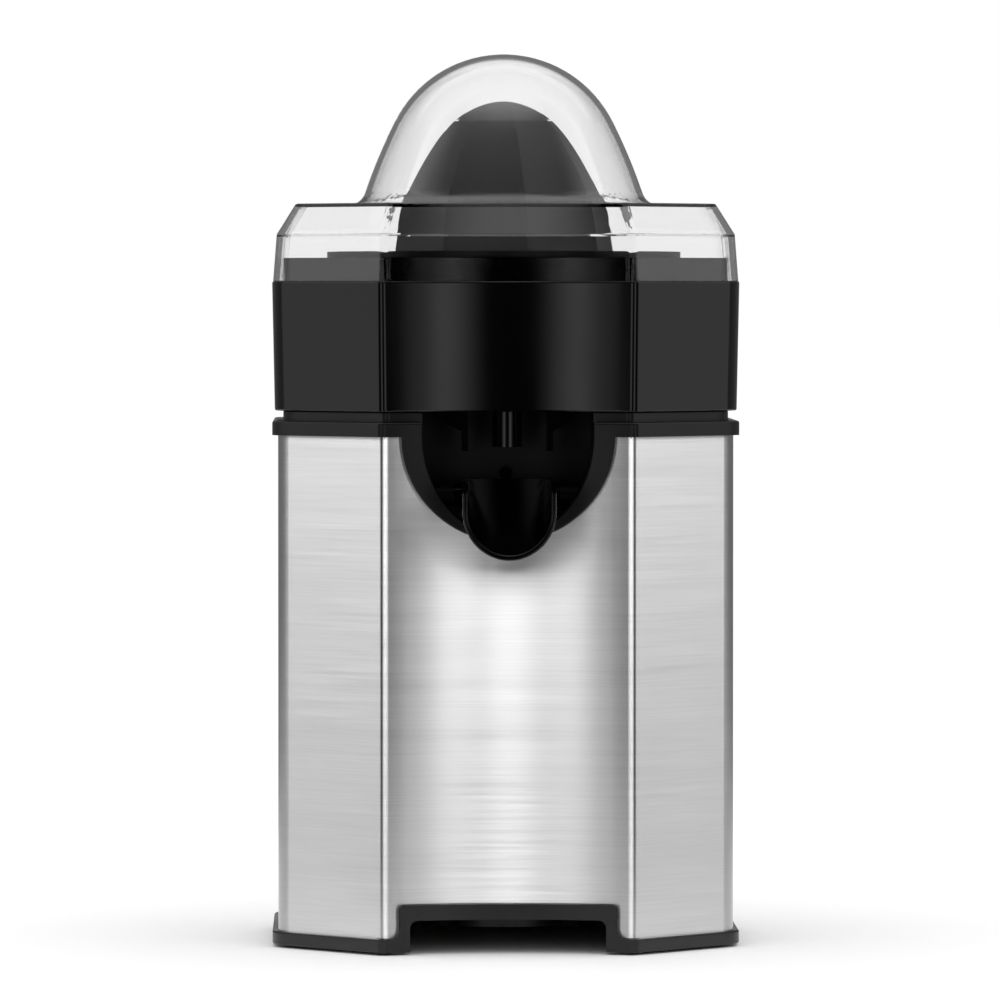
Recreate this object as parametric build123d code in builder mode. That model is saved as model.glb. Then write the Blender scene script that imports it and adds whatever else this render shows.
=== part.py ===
"""Electric citrus juicer: a steel tower with a press-to-start reamer under a clear lid.

All sizes are in millimetres, +Z is up and the spout faces -Y.
"""
import os
from math import acos, atan2, cos, isclose, pi, radians, sin, sqrt, tan

from build123d import *

os.makedirs("parts", exist_ok=True)

# Plan of the tower, an octagon with a hollowed front
tower_span = 175.0
front_width = 94.6
front_hollow = 10.0
front_corner_radius = 3.0
side_corner_radius = 14.0

# Heights of the tiers, from the table up
foot_proud = 1.0
base_rim_height = 5.2
sleeve_height = 190.4
bezel_height = 5.5
deck_rise = 3.9
collector_height = 49.7
lip_rise = 8.8
lid_wall_height = 17.9
lid_bevel_height = 11.8
dome_height = 58.5

# How far each tier stands out from the steel or in from it
base_overhang = 2.25
bezel_overhang = 2.25
deck_inset = 2.0
collector_top_overhang = 2.25
collector_bottom_overhang = 1.25
lid_bottom_overhang = 1.85
lid_shoulder_overhang = 0.5
lid_plate_inset = 6.8

# Clearances and cuts
overrun = 5.0
press_travel = 3.0
fit_clearance = 0.2
lid_clearance = 0.4
running_clearance = 0.05
screw_clearance = 0.05
hole_clearance = 0.3
part_clearance = 0.3

# Steel sleeve and its rear seam
sleeve_thickness = 0.8
seam_width = 3.0
strip_width = 14.0
strip_thickness = 1.4
strip_edge_radius = 0.5

# Round trim and recess behind the spout
surround_width = 2.2
surround_lap = 0.8
recess_level_rise = 0.4
recess_half_width = 32.5
recess_spout_gap = 1.0
recess_wall = 1.2
recess_case_gap = 9.4
recess_screw_radius = 2.4
recess_screw_head = 1.6
recess_screw_rise = -14.7
recess_screw_length = 7.0
recess_boss_radius = 3.0
trim_edge_radius = 0.6

# Top housing
deck_thickness = 3.0
housing_wall = 2.2
spigot_depth = 10.0
bezel_edge_radius = 0.9
deck_edge_radius = 0.5
shaft_tower_radius = 11.0
tower_hub_gap = 1.0

# Juice collector
collector_wall = 2.4
lip_thickness = 1.8
bowl_floor_rise = 10.5
bowl_floor_thickness = 2.2
bowl_floor_tilt = 5.0
bowl_throat_depth = 6.0
collector_edge_radius = 0.8
chimney_thickness = 2.0
chimney_gap = 0.6
chimney_lap = 6.0
nozzle_radius = 5.75
nozzle_bore_radius = 4.25
nozzle_drop = 13.5
nozzle_inset = 12.5
web_half_gap = 15.0
web_thickness = 2.4
web_drop = 15.0
web_reach = 11.5
web_plate_drop = 3.0
web_length = 12.0

# Spout
spout_reach = 112.0
spout_half_width = 17.7
spout_wall = 2.0
spout_lip_height = 24.6
spout_top_drop = 17.0
spout_tilt = 15.0
spout_tail = 7.9
spout_axis_rise = 8.6
spout_lip_radius = 0.7
pivot_gap = 16.0
pivot_drop = 23.0
pivot_pin_radius = 1.75
pivot_boss_radius = 4.5
pivot_boss_height = 2.3
pivot_ear_radius = 4.2
pivot_pin_hold = 3.0

# Lid
lid_thickness = 2.0
dome_taper = 8.0
dome_cap_angle = 63.3
dome_front_gap = 21.9
dome_flare_radius = 7.0
lid_edge_radius = 1.0

# Reamer, its outline as shares of its own height and foot radius
reamer_height = 77.4
reamer_keeper_gap = 1.5
reamer_ridges = 8
reamer_ridge_angle = -79.0
reamer_shares = (
    (0.0, 1.0, 0.955),
    (0.123, 0.998, 0.94),
    (0.245, 0.988, 0.92),
    (0.367, 0.953, 0.905),
    (0.485, 0.905, 0.895),
    (0.592, 0.819, 0.89),
    (0.698, 0.716, 0.89),
    (0.798, 0.601, 0.892),
    (0.889, 0.463, 0.9),
    (0.945, 0.332, 0.91),
    (0.983, 0.182, 0.92),
)
reamer_hollow_shares = ((0.0, 0.86), (0.3, 0.8), (0.5, 0.71), (0.7, 0.52), (0.8, 0.36))
reamer_rib_count = 6
reamer_rib_thickness = 2.0
reamer_rib_gap = 14.4
socket_wall = 2.6
socket_web = 3.0
socket_clearance = 0.25

# Pulp basket and its setting ring
basket_front_gap = 9.5
basket_rim_reach = 3.0
basket_taper = 1.0
basket_wall = 1.8
basket_rim_thickness = 2.4
basket_depth = 19.0
basket_floor = 2.0
basket_tube_gap = 1.6
basket_tube_wall = 1.8
basket_tube_drop = 10.0
keeper_wall = 2.0
keeper_drop = 3.4
keeper_bead = 1.3
keeper_bead_height = 1.2
ring_thickness = 1.6
ring_inset = 1.0
ring_land = 2.0
ring_rim = 5.0
slot_length = 9.7
slot_sectors = 6
slot_group_angle = 20.0
slot_groups = ((4, 0.8), (3, 1.3), (2, 2.2))
slot_group_spread = 12.0
window_angle = 15.0
tab_width_angle = 6.0
tab_inset = 1.4
tab_thickness = 1.8
tab_height = 11.0
tab_travel = 40.0

# Base frame
base_wall = 2.4
arch_trim_width = 82.5
arch_trim_top = 19.0
arch_width = 74.5
arch_top = 13.0
arch_trim_corner = 1.8
arch_sweep_radius = 3.5
arch_corner_radius = 3.0
arch_depth = 20.0
pan_under = 19.0
pan_thickness = 3.0
base_edge_radius = 0.8
drum_radius = 40.0
drum_wall = 2.5
drum_drop = 12.0
drum_tab_count = 4
drum_tab_reach = 7.0
drum_tab_width = 16.0
drum_tab_thickness = 2.0

# Feet, pillars and their screws
pillar_inset = 10.4
pillar_radius = 5.5
pilot_radius = 1.6
pilot_depth = 18.0
foot_radius = 8.0
foot_thickness = 2.7
foot_edge_radius = 0.5
boss_radius = 10.0
base_screw_recess = 5.5
screw_head_radius = 3.4
screw_head_height = 2.0
screw_slot_length = 4.0
screw_slot_width = 0.9
screw_slot_depth = 1.0
screw_grip = 14.0

# Cord gland in the rear of the sleeve
gland_place = 28.0
gland_level = 34.0
gland_radius = 6.0
gland_flange_radius = 9.0
gland_flange = 5.0
gland_inner_radius = 7.5
gland_inner = 4.0
gland_bore_radius = 3.7
gland_edge_radius = 1.2

# Shaft line
shaft_radius = 4.0
shaft_length = 100.0
shaft_tail = 14.0
hub_across = 12.5
hub_height = 24.0
upper_bush_radius = 7.0
upper_bush_share = 0.5
seal_height = 4.0
seal_clearance = 0.1
lower_bush_radius = 6.5
lower_bush_drop = 4.0
clip_radius = 6.4
clip_thickness = 1.2
cup_radius = 7.0
cup_height = 9.0
cup_floor = 5.0
cup_flange_radius = 9.5
cup_flange = 2.0
cup_tab_reach = 17.0
cup_tab_width = 6.0

# Return spring
spring_radius = 5.5
spring_wire_radius = 0.6
spring_turns = 5.0
spring_seat_gap = 0.05

# Gear train
wheel_module = 1.0
wheel_teeth = 60
small_teeth = 12
fine_module = 0.8
fine_wheel_teeth = 50
fine_small_teeth = 10
pressure_angle = 25.0
addendum_share = 0.8
dedendum_share = 1.15
gear_backlash = 0.14
gear_spread = 0.08
wheel_face = 9.0
wheel_gap = 1.2
wheel_clear = 1.0
wheel_hub_radius = 9.0
wheel_hub_drop = 2.0
fine_face = 6.0
pinion_overlap = 0.6
pinion_roof_gap = 0.8
plate_gap = 1.4
idler_axle_radius = 2.0

# Gear case and plate
case_wall = 2.4
case_gap = 1.4
case_roof = 2.4
ear_radius = 6.0
front_ear_angle = 41.0
rear_ear_side = 24.0
rear_ear_back = 6.0
idler_ear_angle = -10.0
plate_thickness = 3.0
case_screw_bite = 2.0

# Motor
stack_height = 22.0
core_pillar_gap = 3.5
core_strap_gap = 2.5
core_front = 15.0
core_slot_half = 9.0
core_yoke = 12.0
core_bore_radius = 12.6
core_gap_half = 2.0
coil_thickness = 7.0
coil_clearance = 0.5
coil_end_gap = 1.0
coil_rotor_gap = 2.4
coil_wall_gap = 10.2
coil_corner_radius = 3.0
coil_plate_gap = 3.0
rotor_radius = 11.9
rotor_height = 20.0
rotor_shaft_radius = 2.0
motor_bush_radius = 4.5
motor_bush_length = 6.0
motor_bracket_thickness = 2.5
motor_bracket_rear = 7.0
motor_screw_front = 8.0
motor_screw_end = 6.0
motor_screw_edge = 4.5
motor_screw_radius = 1.6
motor_spacer_radius = 4.0
motor_pad_radius = 6.0

# Switch and its bracket
strap_thickness = 1.5
strap_half_width = 9.0
strap_half_gap = 12.0
strap_flange = 8.5
strap_rear = 20.5
spring_room = 11.5
strap_screw_radius = 1.4
strap_screw_head_radius = 2.6
strap_screw_head = 1.6
switch_half_length = 10.0
switch_front = 11.2
switch_depth = 6.4
switch_height = 8.5
plunger_radius = 1.5
plunger_length = 6.0
plunger_well = 7.4

# Inner leads
lead_radius = 1.1
lead_bend = 6.0
lead_half_pitch = 1.7
lead_switch_run = 24.0
lead_core_gap = 4.9
lead_gap = 0.6
lead_side = 3.0

# Levels worked out from the heights
rim_bottom = foot_proud
rim_top = rim_bottom + base_rim_height
sleeve_top = rim_top + sleeve_height
bezel_top = sleeve_top + bezel_height
deck_top = bezel_top + deck_rise
deck_under = deck_top - deck_thickness
collector_rim = deck_top + collector_height
lip_top = collector_rim + lip_rise
lid_shoulder = collector_rim + lid_wall_height
lid_plate = lid_shoulder + lid_bevel_height
lid_top = lid_plate + dome_height
pan_top = pan_under + pan_thickness
recess_level = sleeve_top + recess_level_rise
half_span = tower_span / 2
fit_inset = sleeve_thickness + fit_clearance

# Levels of the gear train, from the deck down
roof_under = deck_under - case_roof
wheel_top = roof_under - wheel_gap
wheel_bottom = wheel_top - wheel_face
fine_top = wheel_bottom - press_travel - wheel_clear
fine_bottom = fine_top - fine_face
plate_top = fine_bottom - plate_gap
plate_bottom = plate_top - plate_thickness
stack_top = plate_bottom - coil_plate_gap - coil_thickness - coil_clearance
stack_bottom = stack_top - stack_height

# Levels of the shaft line, from the gear plate up and down
shaft_bottom = plate_bottom - shaft_tail
shaft_top = shaft_bottom + shaft_length
hub_bottom = shaft_top - hub_height
socket_foot = hub_bottom + press_travel
shaft_tower_top = hub_bottom - press_travel - tower_hub_gap
chimney_top = shaft_tower_top + chimney_lap
cup_bottom = shaft_bottom - cup_floor
strap_floor = cup_bottom - spring_room
strap_bottom = strap_floor - strap_thickness

# Places of the axes in plan
rear_reach = half_span + gland_flange
axis_y = (spout_reach - rear_reach) / 2
pillar_place = (half_span + front_width / 2) / 2 - pillar_inset
core_front_place = strap_rear + core_strap_gap
core_back_place = half_span - sleeve_thickness - coil_wall_gap - coil_clearance - coil_thickness
rotor_distance = (core_front_place + core_back_place) / 2
core_half_width = (core_back_place - core_front_place) / 2
core_rear = pillar_place - pillar_radius - core_pillar_gap
core_slot_end = core_rear - core_yoke
wheel_pitch_radius = wheel_module * wheel_teeth / 2
fine_pitch_radius = fine_module * fine_wheel_teeth / 2
wheel_tip = wheel_pitch_radius + addendum_share * wheel_module
fine_tip = fine_pitch_radius + addendum_share * fine_module
pinion_tip = fine_module * fine_small_teeth / 2 + addendum_share * fine_module
wheel_distance = wheel_module * (wheel_teeth + small_teeth) / 2 + gear_spread
fine_distance = fine_module * (fine_wheel_teeth + fine_small_teeth) / 2 + gear_spread
idler_y = (rotor_distance**2 + wheel_distance**2 - fine_distance**2) / (2 * rotor_distance)
idler_x = sqrt(wheel_distance**2 - idler_y**2)
drive_axis = Axis((0, axis_y, 0), (0, 0, 1))
front_view = Plane((0, axis_y, 0), x_dir=(1, 0, 0), z_dir=(0, -1, 0))
side_view = Plane((0, axis_y, 0), x_dir=(0, 1, 0), z_dir=(1, 0, 0))
front_extent = half_span + bezel_overhang + overrun
front_middle = half_span - front_hollow

# Spout and recess, from the gear case to the front
recess_back = wheel_tip + case_gap + case_wall + recess_case_gap
pivot_place = recess_back + pivot_gap
pivot_level = recess_level - pivot_drop
spout_top_level = recess_level - spout_top_drop
spout_slope = tan(radians(spout_tilt))
spout_axis_level = pivot_level + spout_axis_rise
spout_lip_level = spout_axis_level - (spout_reach - pivot_place) * spout_slope - spout_half_width
spout_length = (spout_reach - pivot_place + spout_tail) / cos(radians(spout_tilt))
spout_under_front = (
    spout_axis_level
    - (front_middle - pivot_place) * spout_slope
    - spout_half_width / cos(radians(spout_tilt))
)
recess_drop = recess_level - spout_under_front + recess_spout_gap
surround_radius = recess_drop + surround_width
nozzle_place = front_middle - nozzle_inset

# Radii of the lid's dome, the basket, its ring and the reamer, from the front in
dome_foot_radius = front_middle - dome_front_gap
dome_cap_radius = dome_foot_radius - dome_taper
basket_rim_radius = front_middle - basket_front_gap
basket_wall_radius = basket_rim_radius - basket_rim_reach
basket_foot_radius = basket_wall_radius - basket_taper
ring_outer_radius = basket_foot_radius - ring_inset
slot_outer_radius = ring_outer_radius - ring_rim
slot_inner_radius = slot_outer_radius - slot_length
keeper_radius = slot_inner_radius - ring_land - keeper_bead
tab_outer_radius = ring_outer_radius - tab_inset
tab_inner_radius = tab_outer_radius - tab_thickness
reamer_radius = keeper_radius - reamer_keeper_gap


def level(height):
    """Horizontal plane at a height, centred on the drive axis."""
    return Plane((0, axis_y, height))


def save(builder, label):
    """Label a finished piece and write its file."""
    builder.part.label = label
    export_step(builder.part, f"parts/{label}.step")


def tower_plan(growth, height):
    """Plan of the tower at a height, grown outward from the steel."""
    span = half_span + growth
    corner = front_width / 2 + growth * tan(radians(45) / 2)
    with BuildSketch(level(height)) as plan:
        with BuildLine():
            ThreePointArc((-corner, -span), (0, front_hollow - span), (corner, -span))
            Polyline(
                (corner, -span),
                (span, -corner),
                (span, corner),
                (corner, span),
                (-corner, span),
                (-span, corner),
                (-span, -corner),
                (-corner, -span),
            )
        make_face()
        near = plan.vertices().group_by(Axis.Y)[0]
        fillet([corner for corner in plan.vertices() if corner not in near], side_corner_radius)
        fillet(plan.vertices().group_by(Axis.Y)[0], front_corner_radius)
    return plan.sketch


def tier(growth, low, high):
    """Straight block of the tower's plan between two levels."""
    with BuildPart() as block:
        extrude(tower_plan(growth, low), amount=high - low)
    return block.part


def recess_form(growth, top):
    """Block of the spout recess, grown by its wall, open to the front."""
    with BuildPart() as block:
        with BuildSketch(front_view.offset(recess_back - growth)):
            with Locations((0, recess_level)):
                Ellipse(recess_half_width + growth, recess_drop + growth)
            with Locations((0, recess_level + recess_drop)):
                Rectangle(4 * recess_half_width, 2 * recess_drop, mode=Mode.SUBTRACT)
            with Locations((0, recess_level)):
                Rectangle(
                    2 * (recess_half_width + growth),
                    top - recess_level,
                    align=(Align.CENTER, Align.MIN),
                )
        extrude(amount=front_extent - recess_back + growth)
    return block.part


def arch_form(margin):
    """Front outline of the base arch trim, swept from the axis to the front."""
    half = arch_trim_width / 2 + margin
    with BuildPart() as block:
        with BuildSketch(front_view) as outline:
            with Locations((0, rim_bottom)):
                Rectangle(
                    2 * half,
                    arch_trim_top + margin - rim_bottom,
                    align=(Align.CENTER, Align.MIN),
                )
                Rectangle(
                    2 * (half + arch_sweep_radius + overrun),
                    base_rim_height + margin,
                    align=(Align.CENTER, Align.MIN),
                )
            tops = outline.vertices().group_by(Axis.Y)[-1]
            fillet(tops, arch_trim_corner + margin)
            inner = [
                corner
                for corner in outline.vertices()
                if isclose(abs(corner.X), half, abs_tol=margin / 2 + fit_clearance / 2)
                and isclose(corner.Y, rim_top + margin, abs_tol=fit_clearance)
            ]
            fillet(inner, arch_sweep_radius - margin)
        extrude(amount=front_extent)
    return block.part


def gear(teeth, module, bore, phase, center, low, high):
    """Spur gear with involute flanks in two straight lengths, set on a center."""
    pitch_radius = module * teeth / 2
    base_radius = pitch_radius * cos(radians(pressure_angle))
    tip_radius = pitch_radius + addendum_share * module
    root_radius = pitch_radius - dedendum_share * module
    involute = tan(radians(pressure_angle)) - radians(pressure_angle)
    half_pitch = pi / (2 * teeth) - gear_backlash / (2 * pitch_radius) + involute

    def half_angle(radius):
        slope = acos(min(1, base_radius / radius))
        return half_pitch - (tan(slope) - slope)

    stations = (root_radius, max(base_radius, root_radius), pitch_radius, tip_radius)
    if base_radius < root_radius:
        stations = (root_radius, pitch_radius, tip_radius)
    flank = [(radius, half_angle(max(radius, base_radius))) for radius in stations]
    points = []
    for index in range(teeth):
        middle = phase + 2 * pi * index / teeth
        for radius, angle in flank:
            points.append((radius * cos(middle - angle), radius * sin(middle - angle)))
        for radius, angle in reversed(flank):
            points.append((radius * cos(middle + angle), radius * sin(middle + angle)))
    with BuildPart() as wheel:
        with BuildSketch(Plane((center[0], axis_y + center[1], low))):
            with BuildLine():
                Polyline(*points, close=True)
            make_face()
            Circle(bore, mode=Mode.SUBTRACT)
        extrude(amount=high - low)
    return wheel.part


def mesh_phase(direction, teeth, phase, other_teeth):
    """Phase of a gear that meshes with another seen along a direction."""
    return direction + pi + (direction - phase) * teeth / other_teeth + pi / other_teeth


def screws(points, seat, length, shank, head, head_height, upward):
    """Slotted screws driven into a seat, their heads on the far side."""
    sign = -1 if upward else 1
    with BuildPart() as group:
        with BuildSketch(level(seat)):
            with Locations(points):
                Circle(head)
        extrude(amount=sign * head_height)
        with BuildSketch(level(seat)):
            with Locations(points):
                Circle(shank)
        extrude(amount=-sign * length)
        with BuildSketch(level(seat + sign * head_height)):
            with Locations(points):
                Rectangle(screw_slot_length * head / screw_head_radius, screw_slot_width)
        extrude(amount=-sign * screw_slot_depth, mode=Mode.SUBTRACT)
    return group


pillar_points = [
    (x * pillar_place, y * pillar_place) for x in (-1, 1) for y in (-1, 1)
]

# Steel sleeve, wrapped once round the tower and seamed at the rear
with BuildPart() as steel_sleeve:
    extrude(tower_plan(0, rim_top), amount=sleeve_height)
    extrude(
        tower_plan(-sleeve_thickness, rim_top), amount=sleeve_height, mode=Mode.SUBTRACT
    )
    with BuildSketch(front_view):
        with Locations((0, recess_level)):
            Circle(surround_radius - surround_lap)
    extrude(amount=front_extent, mode=Mode.SUBTRACT)
    add(arch_form(fit_clearance), mode=Mode.SUBTRACT)
    with BuildSketch(front_view):
        with Locations((0, rim_top)):
            Rectangle(
                seam_width, sleeve_height, align=(Align.CENTER, Align.MIN)
            )
        with Locations((gland_place, gland_level)):
            Circle(gland_radius + fit_clearance)
    extrude(amount=-front_extent, mode=Mode.SUBTRACT)
save(steel_sleeve, "steel_sleeve")

# Strip that covers the rear seam, with a stem in the gap
with BuildPart() as seam_strip:
    with BuildSketch(level(rim_top)):
        with Locations((0, half_span)):
            Rectangle(strip_width, strip_thickness, align=(Align.CENTER, Align.MIN))
            Rectangle(
                seam_width - 2 * fit_clearance,
                sleeve_thickness,
                align=(Align.CENTER, Align.MAX),
            )
    extrude(amount=sleeve_height)
    fillet(
        seam_strip.edges().filter_by(Axis.Z).group_by(Axis.Y)[-1], strip_edge_radius
    )
save(seam_strip, "seam_strip")

# Top housing: bezel, raised deck, round trim, recess and shaft tower
with BuildPart() as surround:
    with BuildSketch(front_view):
        with Locations((0, recess_level)):
            Circle(surround_radius)
    extrude(amount=front_extent)
    add(
        tier(bezel_overhang, recess_level - surround_radius - overrun, sleeve_top),
        mode=Mode.INTERSECT,
    )
    add(
        tier(0, recess_level - surround_radius - overrun, sleeve_top), mode=Mode.SUBTRACT
    )
    fillet(surround.edges().filter_by(GeomType.BSPLINE).sort_by(Axis.Y)[0], trim_edge_radius)

with BuildPart() as recess_shell:
    add(tier(bezel_overhang, recess_level - surround_radius - overrun, sleeve_top))
    add(tier(-fit_inset - housing_wall / 2, sleeve_top, deck_under))
    add(recess_form(recess_wall, deck_under), mode=Mode.INTERSECT)

with BuildPart() as top_housing:
    extrude(tower_plan(bezel_overhang, sleeve_top), amount=bezel_height)
    fillet(
        top_housing.edges().group_by(Axis.Z)[-1], bezel_edge_radius
    )
    extrude(tower_plan(-deck_inset, bezel_top), amount=deck_rise)
    fillet(
        top_housing.edges().group_by(Axis.Z)[-1], deck_edge_radius
    )
    extrude(tower_plan(-fit_inset, sleeve_top), amount=-spigot_depth)
    add(
        tier(-fit_inset - housing_wall, sleeve_top - spigot_depth, deck_under),
        mode=Mode.SUBTRACT,
    )
    add(surround.part)
    add(recess_shell.part)
    add(recess_form(0, deck_top + overrun), mode=Mode.SUBTRACT)
    mouth = [
        edge
        for edge in top_housing.edges().filter_by(GeomType.BSPLINE)
        if isclose(edge.bounding_box().size.X, 2 * recess_half_width, abs_tol=fit_clearance)
    ]
    fillet(mouth, trim_edge_radius)
    with BuildSketch(side_view.offset(spout_half_width + pivot_boss_height + part_clearance)):
        with Locations((-pivot_place, pivot_level)):
            Circle(pivot_ear_radius)
    extrude(
        amount=recess_half_width
        * sqrt(1 - ((recess_level - pivot_level + pivot_ear_radius) / recess_drop) ** 2)
        - spout_half_width
        - pivot_boss_height
        + recess_wall
        + pivot_pin_hold
    )
    with BuildSketch(side_view.offset(-spout_half_width - pivot_boss_height - part_clearance)):
        with Locations((-pivot_place, pivot_level)):
            Circle(pivot_ear_radius)
    extrude(
        amount=-recess_half_width
        * sqrt(1 - ((recess_level - pivot_level + pivot_ear_radius) / recess_drop) ** 2)
        + spout_half_width
        + pivot_boss_height
        - recess_wall
        - pivot_pin_hold
    )
    with BuildSketch(side_view):
        with Locations((-pivot_place, pivot_level)):
            Circle(pivot_pin_radius)
    extrude(
        amount=spout_half_width + pivot_boss_height + part_clearance + pivot_pin_hold,
        both=True,
        mode=Mode.SUBTRACT,
    )
    with BuildSketch(level(deck_under)):
        Circle(shaft_tower_radius)
    extrude(amount=shaft_tower_top - deck_under)
    with BuildSketch(level(deck_under)):
        Circle(upper_bush_radius)
    extrude(amount=shaft_tower_top - deck_under, mode=Mode.SUBTRACT)
    with BuildSketch(level(deck_under)):
        with Locations(pillar_points):
            Circle(pilot_radius + hole_clearance)
    extrude(amount=deck_thickness, mode=Mode.SUBTRACT)
    with BuildSketch(front_view.offset(recess_back)):
        with Locations((0, recess_level + recess_screw_rise)):
            Circle(pilot_radius + hole_clearance)
    extrude(amount=-recess_wall, mode=Mode.SUBTRACT)
save(top_housing, "top_housing")

# Screw on the back wall of the recess
with BuildPart() as recess_screw:
    with BuildSketch(front_view.offset(recess_back)):
        with Locations((0, recess_level + recess_screw_rise)):
            Circle(recess_screw_radius)
    extrude(amount=recess_screw_head)
    with BuildSketch(front_view.offset(recess_back)):
        with Locations((0, recess_level + recess_screw_rise)):
            Circle(pilot_radius - screw_clearance)
    extrude(amount=-recess_screw_length)
    with BuildSketch(front_view.offset(recess_back + recess_screw_head)):
        with Locations((0, recess_level + recess_screw_rise)):
            Rectangle(screw_slot_length, screw_slot_width)
    extrude(amount=-screw_slot_depth, mode=Mode.SUBTRACT)
save(recess_screw, "recess_screw")

# Juice collector: skin, locating lip, tilted bowl, chimney and outlet
lip_inset = lid_thickness - lid_shoulder_overhang + lid_clearance
bowl_floor_plane = Plane(
    (0, axis_y, deck_top + bowl_floor_rise),
    x_dir=(1, 0, 0),
    z_dir=(0, -sin(radians(bowl_floor_tilt)), cos(radians(bowl_floor_tilt))),
)
chimney_bore = shaft_tower_radius + chimney_gap
chimney_radius = chimney_bore + chimney_thickness
bowl_inset = collector_wall - collector_bottom_overhang

with BuildPart() as bowl_space:
    add(tier(-bowl_inset, deck_top, collector_rim - collector_wall - bowl_throat_depth))
    loft(
        [
            tower_plan(-bowl_inset, collector_rim - collector_wall - bowl_throat_depth),
            tower_plan(-lip_inset - lip_thickness, collector_rim - collector_wall),
        ],
        ruled=True,
    )
    add(tier(-lip_inset - lip_thickness, collector_rim - collector_wall, lip_top + overrun))
    split(bisect_by=bowl_floor_plane, keep=Keep.TOP)

with BuildPart() as skirt_space:
    add(tier(-bowl_inset, deck_top - overrun, deck_top + 2 * bowl_floor_rise))
    split(bisect_by=bowl_floor_plane.offset(-bowl_floor_thickness), keep=Keep.BOTTOM)

with BuildPart() as web_pair:
    with BuildSketch(front_view.offset(nozzle_place - web_length / 2)):
        with BuildLine():
            Polyline(
                (web_half_gap, deck_top + bowl_floor_rise),
                (web_half_gap, deck_top - web_drop),
                (web_half_gap + web_thickness, deck_top - web_drop),
                (web_half_gap + web_thickness, deck_top - web_drop / 2),
                (web_half_gap + web_reach, deck_top - web_plate_drop),
                (web_half_gap + web_reach, deck_top + bowl_floor_rise),
                close=True,
            )
        make_face()
        mirror(about=Plane.YZ)
    extrude(amount=web_length)
    with BuildSketch(level(deck_top + bowl_floor_rise)):
        with Locations((0, -nozzle_place)):
            Circle(nozzle_radius)
    extrude(amount=-bowl_floor_rise - nozzle_drop)
    split(bisect_by=bowl_floor_plane.offset(-bowl_floor_thickness / 2), keep=Keep.BOTTOM)

with BuildPart() as juice_collector:
    loft(
        [
            tower_plan(collector_bottom_overhang, deck_top),
            tower_plan(collector_top_overhang, collector_rim),
        ],
        ruled=True,
    )
    fillet(juice_collector.edges().group_by(Axis.Z)[-1], collector_edge_radius)
    fillet(juice_collector.edges().group_by(Axis.Z)[0], collector_edge_radius)
    add(tier(-lip_inset, collector_rim - collector_wall, lip_top))
    add(bowl_space.part, mode=Mode.SUBTRACT)
    add(skirt_space.part, mode=Mode.SUBTRACT)
    add(web_pair.part)
    with BuildSketch(level(deck_top)):
        Circle(chimney_radius)
    extrude(amount=chimney_top - deck_top)
    with BuildSketch(level(deck_top)):
        Circle(chimney_bore)
    extrude(amount=chimney_top - deck_top, mode=Mode.SUBTRACT)
    with BuildSketch(level(deck_top - nozzle_drop)):
        with Locations((0, -nozzle_place)):
            Circle(nozzle_bore_radius)
    extrude(amount=nozzle_drop + bowl_floor_rise, mode=Mode.SUBTRACT)
save(juice_collector, "juice_collector")


def lid_form(inset):
    """Block of the lid's outside, or of its inside when drawn in by its wall."""
    with BuildPart() as form:
        loft(
            [
                tower_plan(lid_bottom_overhang - inset, collector_rim),
                tower_plan(lid_shoulder_overhang - inset, lid_shoulder - inset / 2),
            ],
            ruled=True,
        )
        loft(
            [
                tower_plan(lid_shoulder_overhang - inset, lid_shoulder - inset / 2),
                tower_plan(-lid_plate_inset - inset / 2, lid_plate - inset),
            ],
            ruled=True,
        )
        cap = dome_cap_radius - inset
        center = lid_top - dome_cap_radius
        turn = radians(dome_cap_angle)
        with BuildSketch(front_view):
            with BuildLine():
                crown = ThreePointArc(
                    (0, center + cap),
                    (cap * sin(turn / 2), center + cap * cos(turn / 2)),
                    (cap * sin(turn), center + cap * cos(turn)),
                )
                TangentArc(
                    crown @ 1, (dome_foot_radius - inset, lid_plate - inset), tangent=crown % 1
                )
                Polyline(
                    (dome_foot_radius - inset, lid_plate - inset),
                    (dome_foot_radius - inset, lid_plate - inset - lid_thickness),
                    (0, lid_plate - inset - lid_thickness),
                    (0, center + cap),
                )
            make_face()
        revolve(axis=drive_axis)
        foot = [
            edge
            for edge in form.edges().filter_by(GeomType.CIRCLE)
            if isclose(edge.radius, dome_foot_radius - inset, abs_tol=fit_clearance)
            and isclose(edge.center().Z, lid_plate - inset, abs_tol=fit_clearance)
        ]
        fillet(foot, dome_flare_radius + inset)
    return form.part


# Clear lid, one moulding of even wall
with BuildPart() as dust_cover:
    add(lid_form(0))
    for rim_level in (lid_shoulder, lid_plate):
        rim = [
            edge
            for edge in dust_cover.edges()
            if edge.geom_type in (GeomType.LINE, GeomType.CIRCLE)
            and isclose(edge.center().Z, rim_level, abs_tol=fit_clearance)
            and isclose(edge.bounding_box().size.Z, 0, abs_tol=fit_clearance)
        ]
        fillet(rim, lid_edge_radius)
    add(lid_form(lid_thickness), mode=Mode.SUBTRACT)
save(dust_cover, "dust_cover")

# Pulp basket: dish with slotted floor, keeper wall and centre tube
basket_top = lip_top + part_clearance + basket_rim_thickness
basket_floor_top = basket_top - basket_depth
basket_floor_under = basket_floor_top - basket_floor
tube_bore = chimney_radius + basket_tube_gap
keeper_bottom = basket_floor_under - keeper_drop


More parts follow.
